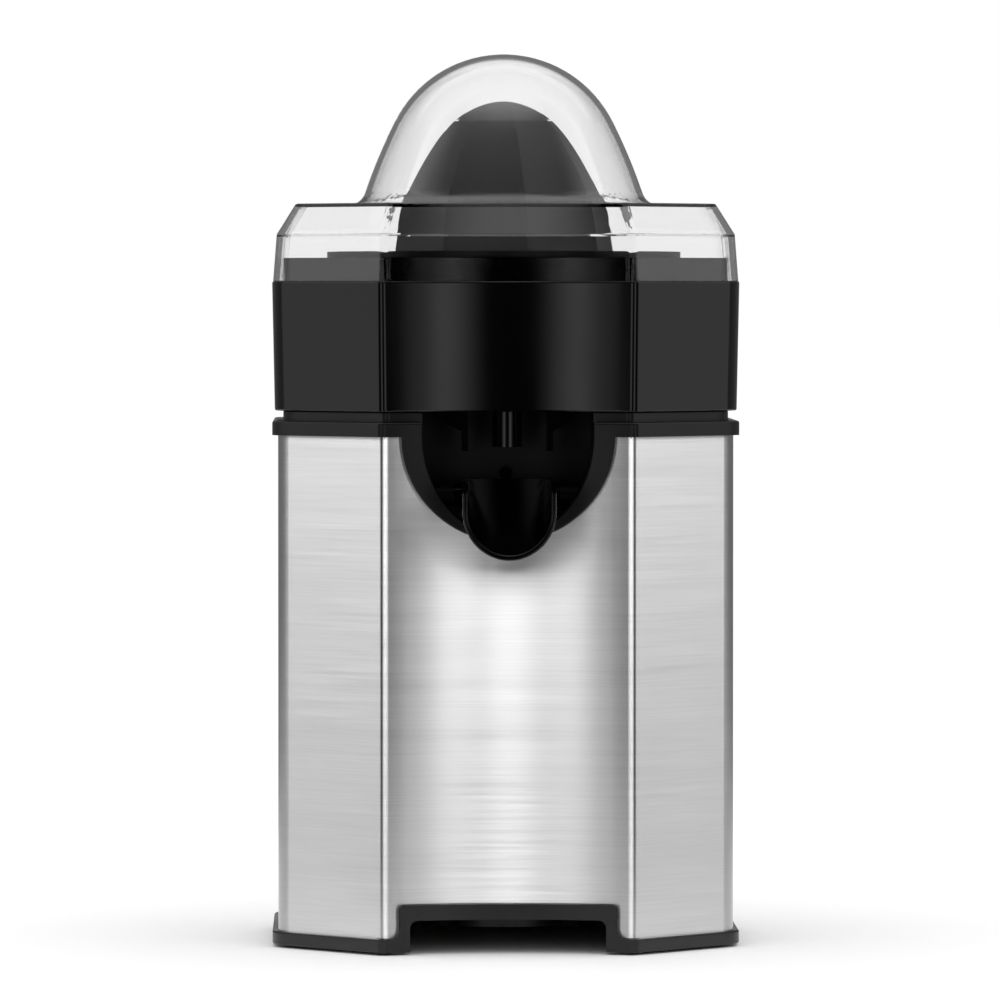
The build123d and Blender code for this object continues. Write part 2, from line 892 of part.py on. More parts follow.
def sector(inner, outer, start, sweep):
    """Flat ring piece between two radii, from a start angle through a sweep."""
    first = radians(start)
    middle = radians(start + sweep / 2)
    last = radians(start + sweep)
    with BuildSketch() as piece:
        with BuildLine():
            ThreePointArc(
                (outer * cos(first), outer * sin(first)),
                (outer * cos(middle), outer * sin(middle)),
                (outer * cos(last), outer * sin(last)),
            )
            Line((outer * cos(last), outer * sin(last)), (inner * cos(last), inner * sin(last)))
            ThreePointArc(
                (inner * cos(last), inner * sin(last)),
                (inner * cos(middle), inner * sin(middle)),
                (inner * cos(first), inner * sin(first)),
            )
            Line(
                (inner * cos(first), inner * sin(first)), (outer * cos(first), outer * sin(first))
            )
        make_face()
    return piece.sketch


def slot_angles():
    """Angle and width of every pulp slot, in groups from fine to coarse."""
    rows = []
    for index in range(slot_sectors):
        for group, (count, width) in enumerate(slot_groups):
            middle = 360 / slot_sectors * index + slot_group_angle * group
            for place in range(count):
                share = (place + 1 / 2) / count - 1 / 2
                rows.append((middle + share * slot_group_spread, width))
    return rows


with BuildPart() as pulp_basket:
    with BuildSketch(front_view):
        with BuildLine():
            Polyline(
                (tube_bore, basket_floor_under - basket_tube_drop),
                (tube_bore + basket_tube_wall, basket_floor_under - basket_tube_drop),
                (tube_bore + basket_tube_wall, basket_floor_under),
                (keeper_radius - keeper_wall, basket_floor_under),
                (keeper_radius - keeper_wall, keeper_bottom),
                (keeper_radius + keeper_bead, keeper_bottom),
                (keeper_radius + keeper_bead, keeper_bottom + keeper_bead_height),
                (keeper_radius, keeper_bottom + keeper_bead_height),
                (keeper_radius, basket_floor_under),
                (basket_foot_radius, basket_floor_under),
                (basket_wall_radius, basket_top - basket_rim_thickness),
                (basket_rim_radius, basket_top - basket_rim_thickness),
                (basket_rim_radius, basket_top),
                (basket_wall_radius - basket_wall, basket_top),
                (basket_foot_radius - basket_wall, basket_floor_top),
                (tube_bore, basket_floor_top),
                close=True,
            )
        make_face()
    revolve(axis=drive_axis)
    with BuildSketch(level(basket_floor_under)):
        for slot_angle, slot_width in slot_angles():
            with Locations(Rot(0, 0, slot_angle) * Pos((slot_inner_radius + slot_outer_radius) / 2)):
                Rectangle(slot_outer_radius - slot_inner_radius, slot_width)
        add(
            sector(
                tab_inner_radius - part_clearance,
                tab_outer_radius + part_clearance,
                -tab_width_angle,
                tab_travel + 2 * tab_width_angle,
            )
        )
    extrude(amount=basket_floor, mode=Mode.SUBTRACT)
save(pulp_basket, "pulp_basket")

# Setting ring that bares one group of slots at a time
ring_top = basket_floor_under - part_clearance
with BuildPart() as pulp_ring:
    with BuildSketch(level(ring_top)):
        Circle(ring_outer_radius)
        Circle(keeper_radius + part_clearance, mode=Mode.SUBTRACT)
    extrude(amount=-ring_thickness)
    for index in range(slot_sectors):
        with BuildSketch(level(ring_top)):
            add(
                sector(
                    slot_inner_radius,
                    slot_outer_radius,
                    360 / slot_sectors * index - window_angle / 2,
                    window_angle,
                )
            )
        extrude(amount=-ring_thickness, mode=Mode.SUBTRACT)
    with BuildSketch(level(ring_top - ring_thickness)):
        add(sector(tab_inner_radius, tab_outer_radius, -tab_width_angle / 2, tab_width_angle))
    extrude(amount=ring_thickness + part_clearance + basket_floor + tab_height)
save(pulp_ring, "pulp_ring")

# Reamer: ridged cone, hollow and ribbed, with a hexagonal socket
reamer_bottom = basket_floor_top
hub_radius = hub_across / sqrt(3)
socket_radius = hub_radius + socket_clearance + socket_wall
rib_foot = chimney_top + reamer_rib_gap
socket_top = max(shaft_top, rib_foot, reamer_bottom) + socket_web


def ridge_plan(height, radius, valley):
    """Section of the reamer: hollow flutes between sharp ridges."""
    step = 2 * pi / reamer_ridges
    first = radians(reamer_ridge_angle)
    with BuildSketch(level(height)) as plan:
        with BuildLine():
            for index in range(reamer_ridges):
                start = first + step * index
                ThreePointArc(
                    (radius * cos(start), radius * sin(start)),
                    (
                        radius * valley * cos(start + step / 2),
                        radius * valley * sin(start + step / 2),
                    ),
                    (radius * cos(start + step), radius * sin(start + step)),
                )
        make_face()
    return plan.sketch


with BuildPart() as cone_space:
    with BuildSketch(front_view):
        with BuildLine():
            inner_line = Spline(
                *[
                    (reamer_radius * radius, reamer_bottom + reamer_height * height)
                    for height, radius in reamer_hollow_shares
                ]
            )
            Polyline(
                inner_line @ 1,
                (0, (inner_line @ 1).Y),
                (0, reamer_bottom),
                inner_line @ 0,
            )
        make_face()
    revolve(axis=drive_axis)
    with BuildSketch(level(rib_foot)):
        with PolarLocations(0, reamer_rib_count):
            Rectangle(
                reamer_radius, reamer_rib_thickness, align=(Align.MIN, Align.CENTER)
            )
    extrude(amount=reamer_height, mode=Mode.SUBTRACT)
    with BuildSketch(level(socket_foot)):
        Circle(socket_radius)
    extrude(amount=socket_top - socket_foot, mode=Mode.SUBTRACT)

with BuildPart() as reamer_cone:
    loft(
        [
            ridge_plan(reamer_bottom + reamer_height * height, reamer_radius * radius, valley)
            for height, radius, valley in reamer_shares
        ]
        + [Vertex(0, axis_y, reamer_bottom + reamer_height)]
    )
    add(cone_space.part, mode=Mode.SUBTRACT)
    with BuildSketch(level(socket_foot)):
        Circle(socket_radius)
    extrude(amount=socket_top - socket_foot)
    with BuildSketch(level(socket_foot)):
        RegularPolygon(hub_radius + socket_clearance, 6)
    extrude(amount=shaft_top - socket_foot, mode=Mode.SUBTRACT)
save(reamer_cone, "reamer_cone")

# Base frame: rim, arch trim, locating wall, raised pan, bosses and cord drum
with BuildPart() as arch_trim:
    add(arch_form(0))
    add(tier(base_overhang, rim_bottom, arch_trim_top), mode=Mode.INTERSECT)
    add(tier(-fit_inset - base_wall, rim_bottom, arch_trim_top), mode=Mode.SUBTRACT)

with BuildPart() as base_frame:
    extrude(tower_plan(base_overhang, rim_bottom), amount=base_rim_height)
    fillet(base_frame.edges().group_by(Axis.Z)[-1], base_edge_radius)
    fillet(base_frame.edges().group_by(Axis.Z)[0], base_edge_radius)
    extrude(tower_plan(-fit_inset, rim_top), amount=pan_top - rim_top)
    add(tier(-fit_inset - base_wall, rim_bottom, pan_under), mode=Mode.SUBTRACT)
    add(arch_trim.part)
    with BuildSketch(front_view.offset(half_span - front_hollow - arch_depth)) as opening:
        with Locations((0, rim_bottom - overrun)):
            Rectangle(
                arch_width, arch_top - rim_bottom + overrun, align=(Align.CENTER, Align.MIN)
            )
        fillet(opening.vertices().group_by(Axis.Y)[-1], arch_corner_radius)
    extrude(amount=front_extent, mode=Mode.SUBTRACT)
    with BuildSketch(level(rim_bottom)):
        with Locations(pillar_points):
            Circle(boss_radius)
        Circle(drum_radius)
        Circle(drum_radius - drum_wall, mode=Mode.SUBTRACT)
    extrude(amount=pan_under - rim_bottom)
    with BuildSketch(level(rim_bottom)):
        Circle(drum_radius)
    extrude(amount=pan_under - drum_drop - rim_bottom, mode=Mode.SUBTRACT)
    with BuildSketch(level(pan_under - drum_drop)):
        with PolarLocations(drum_radius - drum_wall, drum_tab_count, start_angle=45):
            Rectangle(
                drum_wall + drum_tab_reach, drum_tab_width, align=(Align.MIN, Align.CENTER)
            )
    extrude(amount=drum_tab_thickness)
    with BuildSketch(level(rim_bottom)):
        with Locations(pillar_points):
            Circle(foot_radius + fit_clearance)
    extrude(amount=foot_thickness - foot_proud, mode=Mode.SUBTRACT)
    with BuildSketch(level(rim_bottom)):
        with Locations(pillar_points):
            Circle(screw_head_radius + hole_clearance)
    extrude(amount=foot_thickness - foot_proud + base_screw_recess, mode=Mode.SUBTRACT)
    with BuildSketch(level(rim_bottom)):
        with Locations(pillar_points):
            Circle(pilot_radius + hole_clearance)
    extrude(amount=pan_top - rim_bottom, mode=Mode.SUBTRACT)
save(base_frame, "base_frame")

# Rubber feet in the boss pockets
with BuildPart() as rubber_feet:
    with BuildSketch(Plane((0, axis_y, 0))):
        with Locations(pillar_points):
            Circle(foot_radius)
    extrude(amount=foot_thickness)
    fillet(rubber_feet.edges().group_by(Axis.Z)[0], foot_edge_radius)
save(rubber_feet, "rubber_feet")

# Pillars between the pan and the deck, with pilot holes at both ends
with BuildPart() as frame_pillars:
    with BuildSketch(level(pan_top)):
        with Locations(pillar_points):
            Circle(pillar_radius)
    extrude(amount=deck_under - pan_top)
    with BuildSketch(level(pan_top)):
        with Locations(pillar_points):
            Circle(pilot_radius)
    extrude(amount=pilot_depth, mode=Mode.SUBTRACT)
    with BuildSketch(level(deck_under)):
        with Locations(pillar_points):
            Circle(pilot_radius)
    extrude(amount=-pilot_depth, mode=Mode.SUBTRACT)
save(frame_pillars, "frame_pillars")

deck_screws = screws(
    pillar_points,
    deck_top,
    deck_thickness + screw_grip,
    pilot_radius - screw_clearance,
    screw_head_radius,
    screw_head_height,
    False,
)
save(deck_screws, "deck_screws")

base_screw_seat = foot_thickness + base_screw_recess
base_screws = screws(
    pillar_points,
    base_screw_seat,
    pan_top - base_screw_seat + screw_grip,
    pilot_radius - screw_clearance,
    screw_head_radius,
    screw_head_height,
    True,
)
save(base_screws, "base_screws")

# Cord gland: grooved rubber bush in the rear of the sleeve
gland_plane = Plane(
    (gland_place, axis_y + half_span, gland_level), x_dir=(-1, 0, 0), z_dir=(0, 1, 0)
)
with BuildPart() as cord_gland:
    with BuildSketch(gland_plane):
        Circle(gland_flange_radius)
    extrude(amount=gland_flange)
    fillet(cord_gland.edges().group_by(Axis.Y)[-1], gland_edge_radius)
    with BuildSketch(gland_plane):
        Circle(gland_radius)
    extrude(amount=-sleeve_thickness - fit_clearance)
    with BuildSketch(gland_plane.offset(-sleeve_thickness - fit_clearance)):
        Circle(gland_inner_radius)
    extrude(amount=-gland_inner)
    with BuildSketch(gland_plane.offset(gland_flange)):
        Circle(gland_bore_radius)
    extrude(
        amount=-gland_flange - sleeve_thickness - fit_clearance - gland_inner,
        mode=Mode.SUBTRACT,
    )
save(cord_gland, "cord_gland")

# Spout: tilted trough with a closed rear end and a pivot boss each side
spout_direction = (0, cos(radians(spout_tilt)), sin(radians(spout_tilt)))
spout_plane = Plane(
    (0, axis_y - spout_reach, spout_lip_level + spout_half_width),
    x_dir=(-1, 0, 0),
    z_dir=spout_direction,
)


def trough(half_width, depth, start, length):
    """Round-bottomed block along the spout, deep enough to clear its top."""
    with BuildPart() as block:
        with BuildSketch(spout_plane.offset(start)):
            Circle(half_width)
            Rectangle(2 * half_width, depth, align=(Align.CENTER, Align.MIN))
        extrude(amount=length)
    return block.part


with BuildPart() as spout:
    add(
        trough(
            spout_half_width,
            spout_lip_height - spout_half_width,
            -spout_half_width,
            spout_length + spout_half_width,
        )
    )
    with BuildSketch(level(spout_top_level)):
        with Locations((0, -spout_reach)):
            Rectangle(
                4 * spout_half_width, 2 * spout_length, align=(Align.CENTER, Align.MIN)
            )
    extrude(amount=spout_length, mode=Mode.SUBTRACT)
    with BuildSketch(side_view):
        with Locations((-pivot_place, pivot_level)):
            Circle(pivot_boss_radius)
    extrude(amount=spout_half_width + pivot_boss_height, both=True)
    add(
        trough(
            spout_half_width - spout_wall,
            2 * spout_lip_height,
            -2 * spout_half_width,
            spout_length + 2 * spout_half_width - spout_wall,
        ),
        mode=Mode.SUBTRACT,
    )
    with BuildSketch(front_view.offset(spout_reach)):
        with Locations((0, spout_lip_level)):
            Rectangle(4 * spout_half_width, 4 * spout_lip_height)
    extrude(amount=2 * spout_half_width, mode=Mode.SUBTRACT)
    lip_edges = [
        edge for edge in spout.edges().group_by(Axis.Y)[0] if edge.length > 2 * spout_wall
    ]
    fillet(lip_edges, spout_lip_radius)
    with BuildSketch(side_view):
        with Locations((-pivot_place, pivot_level)):
            Circle(pivot_pin_radius + running_clearance)
    extrude(
        amount=spout_half_width + pivot_boss_height, both=True, mode=Mode.SUBTRACT
    )
save(spout, "spout")

# Pivot stubs held in the recess ears
pin_outer = spout_half_width + pivot_boss_height + part_clearance + pivot_pin_hold
pin_inner = spout_half_width - spout_wall / 2
with BuildPart() as spout_pins:
    with BuildSketch(side_view.offset(pin_inner)):
        with Locations((-pivot_place, pivot_level)):
            Circle(pivot_pin_radius)
    extrude(amount=pin_outer - pin_inner)
    with BuildSketch(side_view.offset(-pin_inner)):
        with Locations((-pivot_place, pivot_level)):
            Circle(pivot_pin_radius)
    extrude(amount=pin_inner - pin_outer)
save(spout_pins, "spout_pins")

# Shaft line: shaft, hub, bushes, seal, clip and thrust cup
with BuildPart() as drive_shaft:
    with BuildSketch(level(shaft_bottom)):
        Circle(shaft_radius)
    extrude(amount=shaft_length - socket_web)
save(drive_shaft, "drive_shaft")

with BuildPart() as drive_hub:
    with BuildSketch(level(hub_bottom)):
        RegularPolygon(hub_radius, 6)
    extrude(amount=hub_height)
    with BuildSketch(level(hub_bottom)):
        Circle(shaft_radius)
    extrude(amount=hub_height - socket_web, mode=Mode.SUBTRACT)
save(drive_hub, "drive_hub")

upper_bush_top = shaft_tower_top - seal_height
upper_bush_length = upper_bush_share * (shaft_tower_top - deck_under)
with BuildPart() as upper_bush:
    with BuildSketch(level(upper_bush_top)):
        Circle(upper_bush_radius)
        Circle(shaft_radius + running_clearance, mode=Mode.SUBTRACT)
    extrude(amount=-upper_bush_length)
save(upper_bush, "upper_bush")

with BuildPart() as shaft_seal:
    with BuildSketch(level(upper_bush_top)):
        Circle(upper_bush_radius)
        Circle(shaft_radius + seal_clearance, mode=Mode.SUBTRACT)
    extrude(amount=seal_height)
save(shaft_seal, "shaft_seal")

with BuildPart() as lower_bush:
    with BuildSketch(level(plate_top)):
        Circle(lower_bush_radius)
        Circle(shaft_radius + running_clearance, mode=Mode.SUBTRACT)
    extrude(amount=-plate_thickness - lower_bush_drop)
save(lower_bush, "lower_bush")

with BuildPart() as shaft_clip:
    with BuildSketch(level(plate_bottom - lower_bush_drop - part_clearance)):
        Circle(clip_radius)
        Circle(shaft_radius, mode=Mode.SUBTRACT)
    extrude(amount=-clip_thickness)
save(shaft_clip, "shaft_clip")

with BuildPart() as thrust_cup:
    with BuildSketch(level(cup_bottom)):
        Circle(cup_radius)
    extrude(amount=cup_height)
    with BuildSketch(level(cup_bottom)):
        Circle(cup_flange_radius)
        Rectangle(cup_tab_width, cup_tab_reach, align=(Align.CENTER, Align.MIN))
    extrude(amount=cup_flange)
    with BuildSketch(level(shaft_bottom)):
        Circle(shaft_radius + running_clearance)
    extrude(amount=cup_height, mode=Mode.SUBTRACT)
save(thrust_cup, "thrust_cup")

# Return spring under the cup
spring_height = cup_bottom - strap_floor - 2 * spring_seat_gap
spring_rise = spring_height - 2 * spring_wire_radius
spring_start = strap_floor + spring_seat_gap + spring_wire_radius
with BuildPart() as return_spring:
    with BuildLine(level(spring_start)) as coil_line:
        Helix(spring_rise / spring_turns, spring_rise, spring_radius)
    with BuildSketch(Plane(coil_line.line @ 0, z_dir=coil_line.line % 0)):
        Circle(spring_wire_radius)
    sweep(path=coil_line.line, is_frenet=True)
save(return_spring, "return_spring")

# Gear train
idler_center = (idler_x, idler_y)
rotor_center = (0, rotor_distance)
idler_direction = atan2(idler_y, idler_x)
small_phase = mesh_phase(idler_direction, wheel_teeth, 0, small_teeth)
rotor_direction = atan2(rotor_distance - idler_y, -idler_x)
rotor_phase = mesh_phase(rotor_direction, fine_wheel_teeth, 0, fine_small_teeth)

with BuildPart() as output_gear:
    add(gear(wheel_teeth, wheel_module, shaft_radius, 0, (0, 0), wheel_bottom, wheel_top))
    with BuildSketch(level(wheel_bottom)):
        Circle(wheel_hub_radius)
        Circle(shaft_radius, mode=Mode.SUBTRACT)
    extrude(amount=-wheel_hub_drop)
save(output_gear, "output_gear")

idler_bore = idler_axle_radius + running_clearance
with BuildPart() as idler_gear:
    add(
        gear(fine_wheel_teeth, fine_module, idler_bore, 0, idler_center, fine_bottom, fine_top)
    )
    add(
        gear(
            small_teeth,
            wheel_module,
            idler_bore,
            small_phase,
            idler_center,
            fine_top,
            roof_under - pinion_roof_gap,
        )
    )
save(idler_gear, "idler_gear")

with BuildPart() as idler_axle:
    with BuildSketch(level(plate_bottom)):
        with Locations(idler_center):
            Circle(idler_axle_radius)
    extrude(amount=deck_under - plate_bottom)
save(idler_axle, "idler_axle")

with BuildPart() as motor_pinion:
    add(
        gear(
            fine_small_teeth,
            fine_module,
            rotor_shaft_radius,
            rotor_phase,
            rotor_center,
            fine_bottom - pinion_overlap,
            fine_top + pinion_overlap,
        )
    )
save(motor_pinion, "motor_pinion")

# Gear case: walls round the gears, ears for the screws, roof under the deck
gear_rooms = (
    ((0, 0), wheel_tip + case_gap),
    (idler_center, fine_tip + case_gap),
    (rotor_center, pinion_tip + case_gap),
)
ear_reach = wheel_tip + case_gap + case_wall + ear_radius / 2
idler_ear_reach = fine_tip + case_gap + case_wall + ear_radius / 2
front_ear_turn = radians(front_ear_angle)
ear_points = [
    (ear_reach * cos(front_ear_turn), -ear_reach * sin(front_ear_turn)),
    (-ear_reach * cos(front_ear_turn), -ear_reach * sin(front_ear_turn)),
    (-rear_ear_side, rotor_distance + rear_ear_back),
    (
        idler_x + idler_ear_reach * cos(radians(idler_ear_angle)),
        idler_y + idler_ear_reach * sin(radians(idler_ear_angle)),
    ),
]
motor_points = [
    (place, rotor_distance + side * (core_half_width - motor_screw_edge))
    for place in (motor_screw_front, motor_screw_end - core_rear)
    for side in (-1, 1)
]

recess_boss_start = wheel_tip + case_gap + case_wall / 2
with BuildPart() as gearbox_housing:
    with BuildSketch(front_view.offset(recess_boss_start)):
        with Locations((0, recess_level + recess_screw_rise)):
            Circle(recess_boss_radius)
    extrude(amount=recess_back - recess_wall - recess_boss_start)
    with BuildSketch(level(plate_top)):
        for center, radius in gear_rooms:
            with Locations(center):
                Circle(radius + case_wall)
        with Locations(ear_points):
            Circle(ear_radius)
        make_hull()
    extrude(amount=deck_under - plate_top)
    with BuildSketch(level(plate_top)):
        for center, radius in gear_rooms:
            with Locations(center):
                Circle(radius)
        make_hull()
    extrude(amount=roof_under - plate_top, mode=Mode.SUBTRACT)
    with BuildSketch(level(plate_top)):
        with Locations(ear_points):
            Circle(pilot_radius)
        Circle(upper_bush_radius)
        with Locations(idler_center):
            Circle(idler_axle_radius)
    extrude(amount=deck_under - plate_top, mode=Mode.SUBTRACT)
    with BuildSketch(front_view.offset(recess_back - recess_screw_length)):
        with Locations((0, recess_level + recess_screw_rise)):
            Circle(pilot_radius)
    extrude(amount=recess_screw_length, mode=Mode.SUBTRACT)
save(gearbox_housing, "gearbox_housing")

with BuildPart() as gear_plate:
    with BuildSketch(level(plate_top)):
        for center, radius in gear_rooms:
            with Locations(center):
                Circle(radius + case_wall)
        with Locations(ear_points):
            Circle(ear_radius)
        with Locations(motor_points):
            Circle(motor_pad_radius)
        make_hull()
    extrude(amount=-plate_thickness)
    strap_points = [
        (side * (strap_half_gap + strap_thickness + strap_flange / 2), 0) for side in (-1, 1)
    ]
    with BuildSketch(level(plate_top)):
        with Locations(ear_points):
            Circle(pilot_radius + hole_clearance)
        Circle(lower_bush_radius)
        with Locations(idler_center):
            Circle(idler_axle_radius)
        with Locations(rotor_center):
            Circle(motor_bush_radius)
        with Locations(motor_points):
            Circle(motor_screw_radius)
        with Locations(strap_points):
            Circle(strap_screw_radius)
    extrude(amount=-plate_thickness, mode=Mode.SUBTRACT)
save(gear_plate, "gear_plate")

gearbox_screws = screws(
    ear_points,
    plate_bottom,
    deck_under - plate_bottom - case_screw_bite,
    pilot_radius - screw_clearance,
    screw_head_radius,
    screw_head_height,
    True,
)
save(gearbox_screws, "gearbox_screws")

# Motor: stack with two coils, magnet rotor, bushes and lower bracket
with BuildPart() as stator_core:
    with BuildSketch(level(stack_bottom)):
        with Locations(((core_front - core_rear) / 2, rotor_distance)):
            Rectangle(core_front + core_rear, 2 * core_half_width)
        with Locations((-core_slot_end, rotor_distance)):
            Rectangle(
                core_slot_end,
                2 * core_slot_half,
                align=(Align.MIN, Align.CENTER),
                mode=Mode.SUBTRACT,
            )
        with Locations(rotor_center):
            Circle(core_bore_radius, mode=Mode.SUBTRACT)
            Rectangle(
                core_front,
                2 * core_gap_half,
                align=(Align.MIN, Align.CENTER),
                mode=Mode.SUBTRACT,
            )
        with Locations(motor_points):
            Circle(motor_screw_radius + hole_clearance, mode=Mode.SUBTRACT)
    extrude(amount=stack_height)
save(stator_core, "stator_core")

leg_width = core_half_width - core_slot_half
leg_middle = (core_half_width + core_slot_half) / 2
coil_start = core_slot_end - coil_end_gap
coil_length = coil_start - core_bore_radius - coil_rotor_gap
coil_plane = Plane(
    (-coil_start, axis_y + rotor_distance, (stack_top + stack_bottom) / 2),
    x_dir=(0, 1, 0),
    z_dir=(1, 0, 0),
)
with BuildPart() as stator_coils:
    with BuildSketch(coil_plane):
        with Locations((leg_middle, 0), (-leg_middle, 0)):
            RectangleRounded(
                leg_width + 2 * (coil_clearance + coil_thickness),
                stack_height + 2 * (coil_clearance + coil_thickness),
                coil_corner_radius,
            )
            Rectangle(
                leg_width + 2 * coil_clearance,
                stack_height + 2 * coil_clearance,
                mode=Mode.SUBTRACT,
            )
    extrude(amount=coil_length)
save(stator_coils, "stator_coils")

rotor_low = (stack_top + stack_bottom - rotor_height) / 2
with BuildPart() as rotor_magnet:
    with BuildSketch(level(rotor_low)):
        with Locations(rotor_center):
            Circle(rotor_radius)
            Circle(rotor_shaft_radius, mode=Mode.SUBTRACT)
    extrude(amount=rotor_height)
save(rotor_magnet, "rotor_magnet")

bracket_bottom = stack_bottom - motor_bracket_thickness
with BuildPart() as rotor_shaft:
    with BuildSketch(level(bracket_bottom)):
        with Locations(rotor_center):
            Circle(rotor_shaft_radius)
    extrude(amount=fine_top + pinion_overlap - bracket_bottom)
save(rotor_shaft, "rotor_shaft")

with BuildPart() as motor_bracket:
    with BuildSketch(level(stack_bottom)):
        with Locations(((core_front - motor_bracket_rear) / 2, rotor_distance)):
            Rectangle(core_front + motor_bracket_rear, 2 * core_half_width)
        with Locations(rotor_center):
            Circle(motor_bush_radius, mode=Mode.SUBTRACT)
        with Locations(motor_points[:2]):
            Circle(motor_screw_radius + hole_clearance, mode=Mode.SUBTRACT)
    extrude(amount=-motor_bracket_thickness)
save(motor_bracket, "motor_bracket")

with BuildPart() as motor_bushes:
    with BuildSketch(level(plate_top)):
        with Locations(rotor_center):
            Circle(motor_bush_radius)
            Circle(rotor_shaft_radius + running_clearance, mode=Mode.SUBTRACT)
    extrude(amount=-motor_bush_length)
    with BuildSketch(level(stack_bottom)):
        with Locations(rotor_center):
            Circle(motor_bush_radius)
            Circle(rotor_shaft_radius + running_clearance, mode=Mode.SUBTRACT)
    extrude(amount=-motor_bush_length)
save(motor_bushes, "motor_bushes")

with BuildPart() as motor_spacers:
    with BuildSketch(level(stack_top)):
        with Locations(motor_points):
            Circle(motor_spacer_radius)
            Circle(motor_screw_radius + hole_clearance, mode=Mode.SUBTRACT)
    extrude(amount=plate_bottom - stack_top)
save(motor_spacers, "motor_spacers")

with BuildPart() as motor_screws:
    for seat, points in (
        (bracket_bottom, motor_points[:2]),
        (stack_bottom, motor_points[2:]),
    ):
        add(
            screws(
                points,
                seat,
                plate_top - seat,
                motor_screw_radius - screw_clearance,
                screw_head_radius,
                screw_head_height,
                True,
            ).part
        )
save(motor_screws, "motor_screws")

# Switch strap, bent from one strip and hung from the gear plate
strap_leg = strap_half_gap + strap_thickness
with BuildPart() as switch_bracket:
    with BuildSketch(front_view.offset(strap_half_width)):
        with BuildLine():
            Polyline(
                (-strap_leg - strap_flange, plate_bottom),
                (-strap_half_gap, plate_bottom),
                (-strap_half_gap, strap_floor),
                (strap_half_gap, strap_floor),
                (strap_half_gap, plate_bottom),
                (strap_leg + strap_flange, plate_bottom),
                (strap_leg + strap_flange, plate_bottom - strap_thickness),
                (strap_leg, plate_bottom - strap_thickness),
                (strap_leg, strap_bottom),
                (-strap_leg, strap_bottom),
                (-strap_leg, plate_bottom - strap_thickness),
                (-strap_leg - strap_flange, plate_bottom - strap_thickness),
                close=True,
            )
        make_face()
    extrude(amount=-2 * strap_half_width)
    with BuildSketch(level(strap_bottom)):
        Rectangle(2 * strap_half_gap, strap_rear, align=(Align.CENTER, Align.MIN))
    extrude(amount=strap_thickness)
    with BuildSketch(level(plate_bottom)):
        with Locations(strap_points):
            Circle(strap_screw_radius + hole_clearance)
    extrude(amount=-strap_thickness, mode=Mode.SUBTRACT)
save(switch_bracket, "switch_bracket")

bracket_screws = screws(
    strap_points,
    plate_bottom - strap_thickness,
    strap_thickness + plate_thickness,
    strap_screw_radius - screw_clearance,
    strap_screw_head_radius,
    strap_screw_head,
    True,
)
save(bracket_screws, "bracket_screws")

switch_middle = switch_front + switch_depth / 2
switch_top = strap_floor + switch_height
with BuildPart() as micro_switch:
    with BuildSketch(level(strap_floor)):
        with Locations((0, switch_middle)):
            Rectangle(2 * switch_half_length, switch_depth)
    extrude(amount=switch_height)
    with BuildSketch(level(switch_top)):
        with Locations((0, switch_middle)):
            Circle(plunger_radius + running_clearance)
    extrude(amount=-plunger_well, mode=Mode.SUBTRACT)
save(micro_switch, "micro_switch")

plunger_top = cup_bottom - part_clearance
with BuildPart() as switch_plunger:
    with BuildSketch(level(plunger_top)):
        with Locations((0, switch_middle)):
            Circle(plunger_radius)
    extrude(amount=-plunger_length)
save(switch_plunger, "switch_plunger")

# Inner leads: gland to switch, gland to rear coil, switch to front coil
lead_start = half_span - sleeve_thickness - fit_clearance - gland_inner - lead_gap
lead_level = strap_floor + switch_height / 2
lead_coil_run = lead_start - rotor_distance - core_half_width - lead_core_gap
coil_end = coil_length - coil_start
switch_lead = [
    (gland_place + lead_half_pitch, lead_start, gland_level),
    (gland_place + lead_half_pitch, lead_start - lead_switch_run, gland_level),
    (gland_place + lead_half_pitch, lead_start - lead_switch_run, lead_level),
    (gland_place + lead_half_pitch, switch_middle, lead_level),
    (switch_half_length, switch_middle, lead_level),
]
coil_lead = [
    (gland_place - lead_half_pitch, lead_start, gland_level),
    (gland_place - lead_half_pitch, lead_start - lead_coil_run, gland_level),
    (gland_place - lead_half_pitch, lead_start - lead_coil_run, lead_level),
    (coil_end, lead_start - lead_coil_run, lead_level),
]
bridge_lead = [
    (-switch_half_length, switch_front + switch_depth - lead_radius, lead_level),
    (coil_end, switch_front + switch_depth - lead_radius, lead_level),
]


def lead(route):
    """Round lead along a route with even bends."""
    with BuildPart() as wire:
        with BuildLine(level(0)) as path:
            if len(route) > 2:
                FilletPolyline(*route, radius=lead_bend)
            else:
                Line(*route)
        with BuildSketch(Plane(path.line @ 0, z_dir=path.line % 0)):
            Circle(lead_radius)
        sweep(path=path.line)
    return wire.part


with BuildPart() as lead_wires:
    add(lead(switch_lead))
    add(lead(coil_lead))
    add(lead(bridge_lead))
save(lead_wires, "lead_wires")
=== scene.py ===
# %% [markdown]
# # An electric citrus juicer, dressed in Blender
# The shapes come from a CAD model that is already the right size, so this lesson is about finishes,
# light and the camera. Every CAD piece keeps its own mesh and gets a material made from nodes.
# We load the CAD model first.

# %% Load the CAD model as a fixed frame
import math

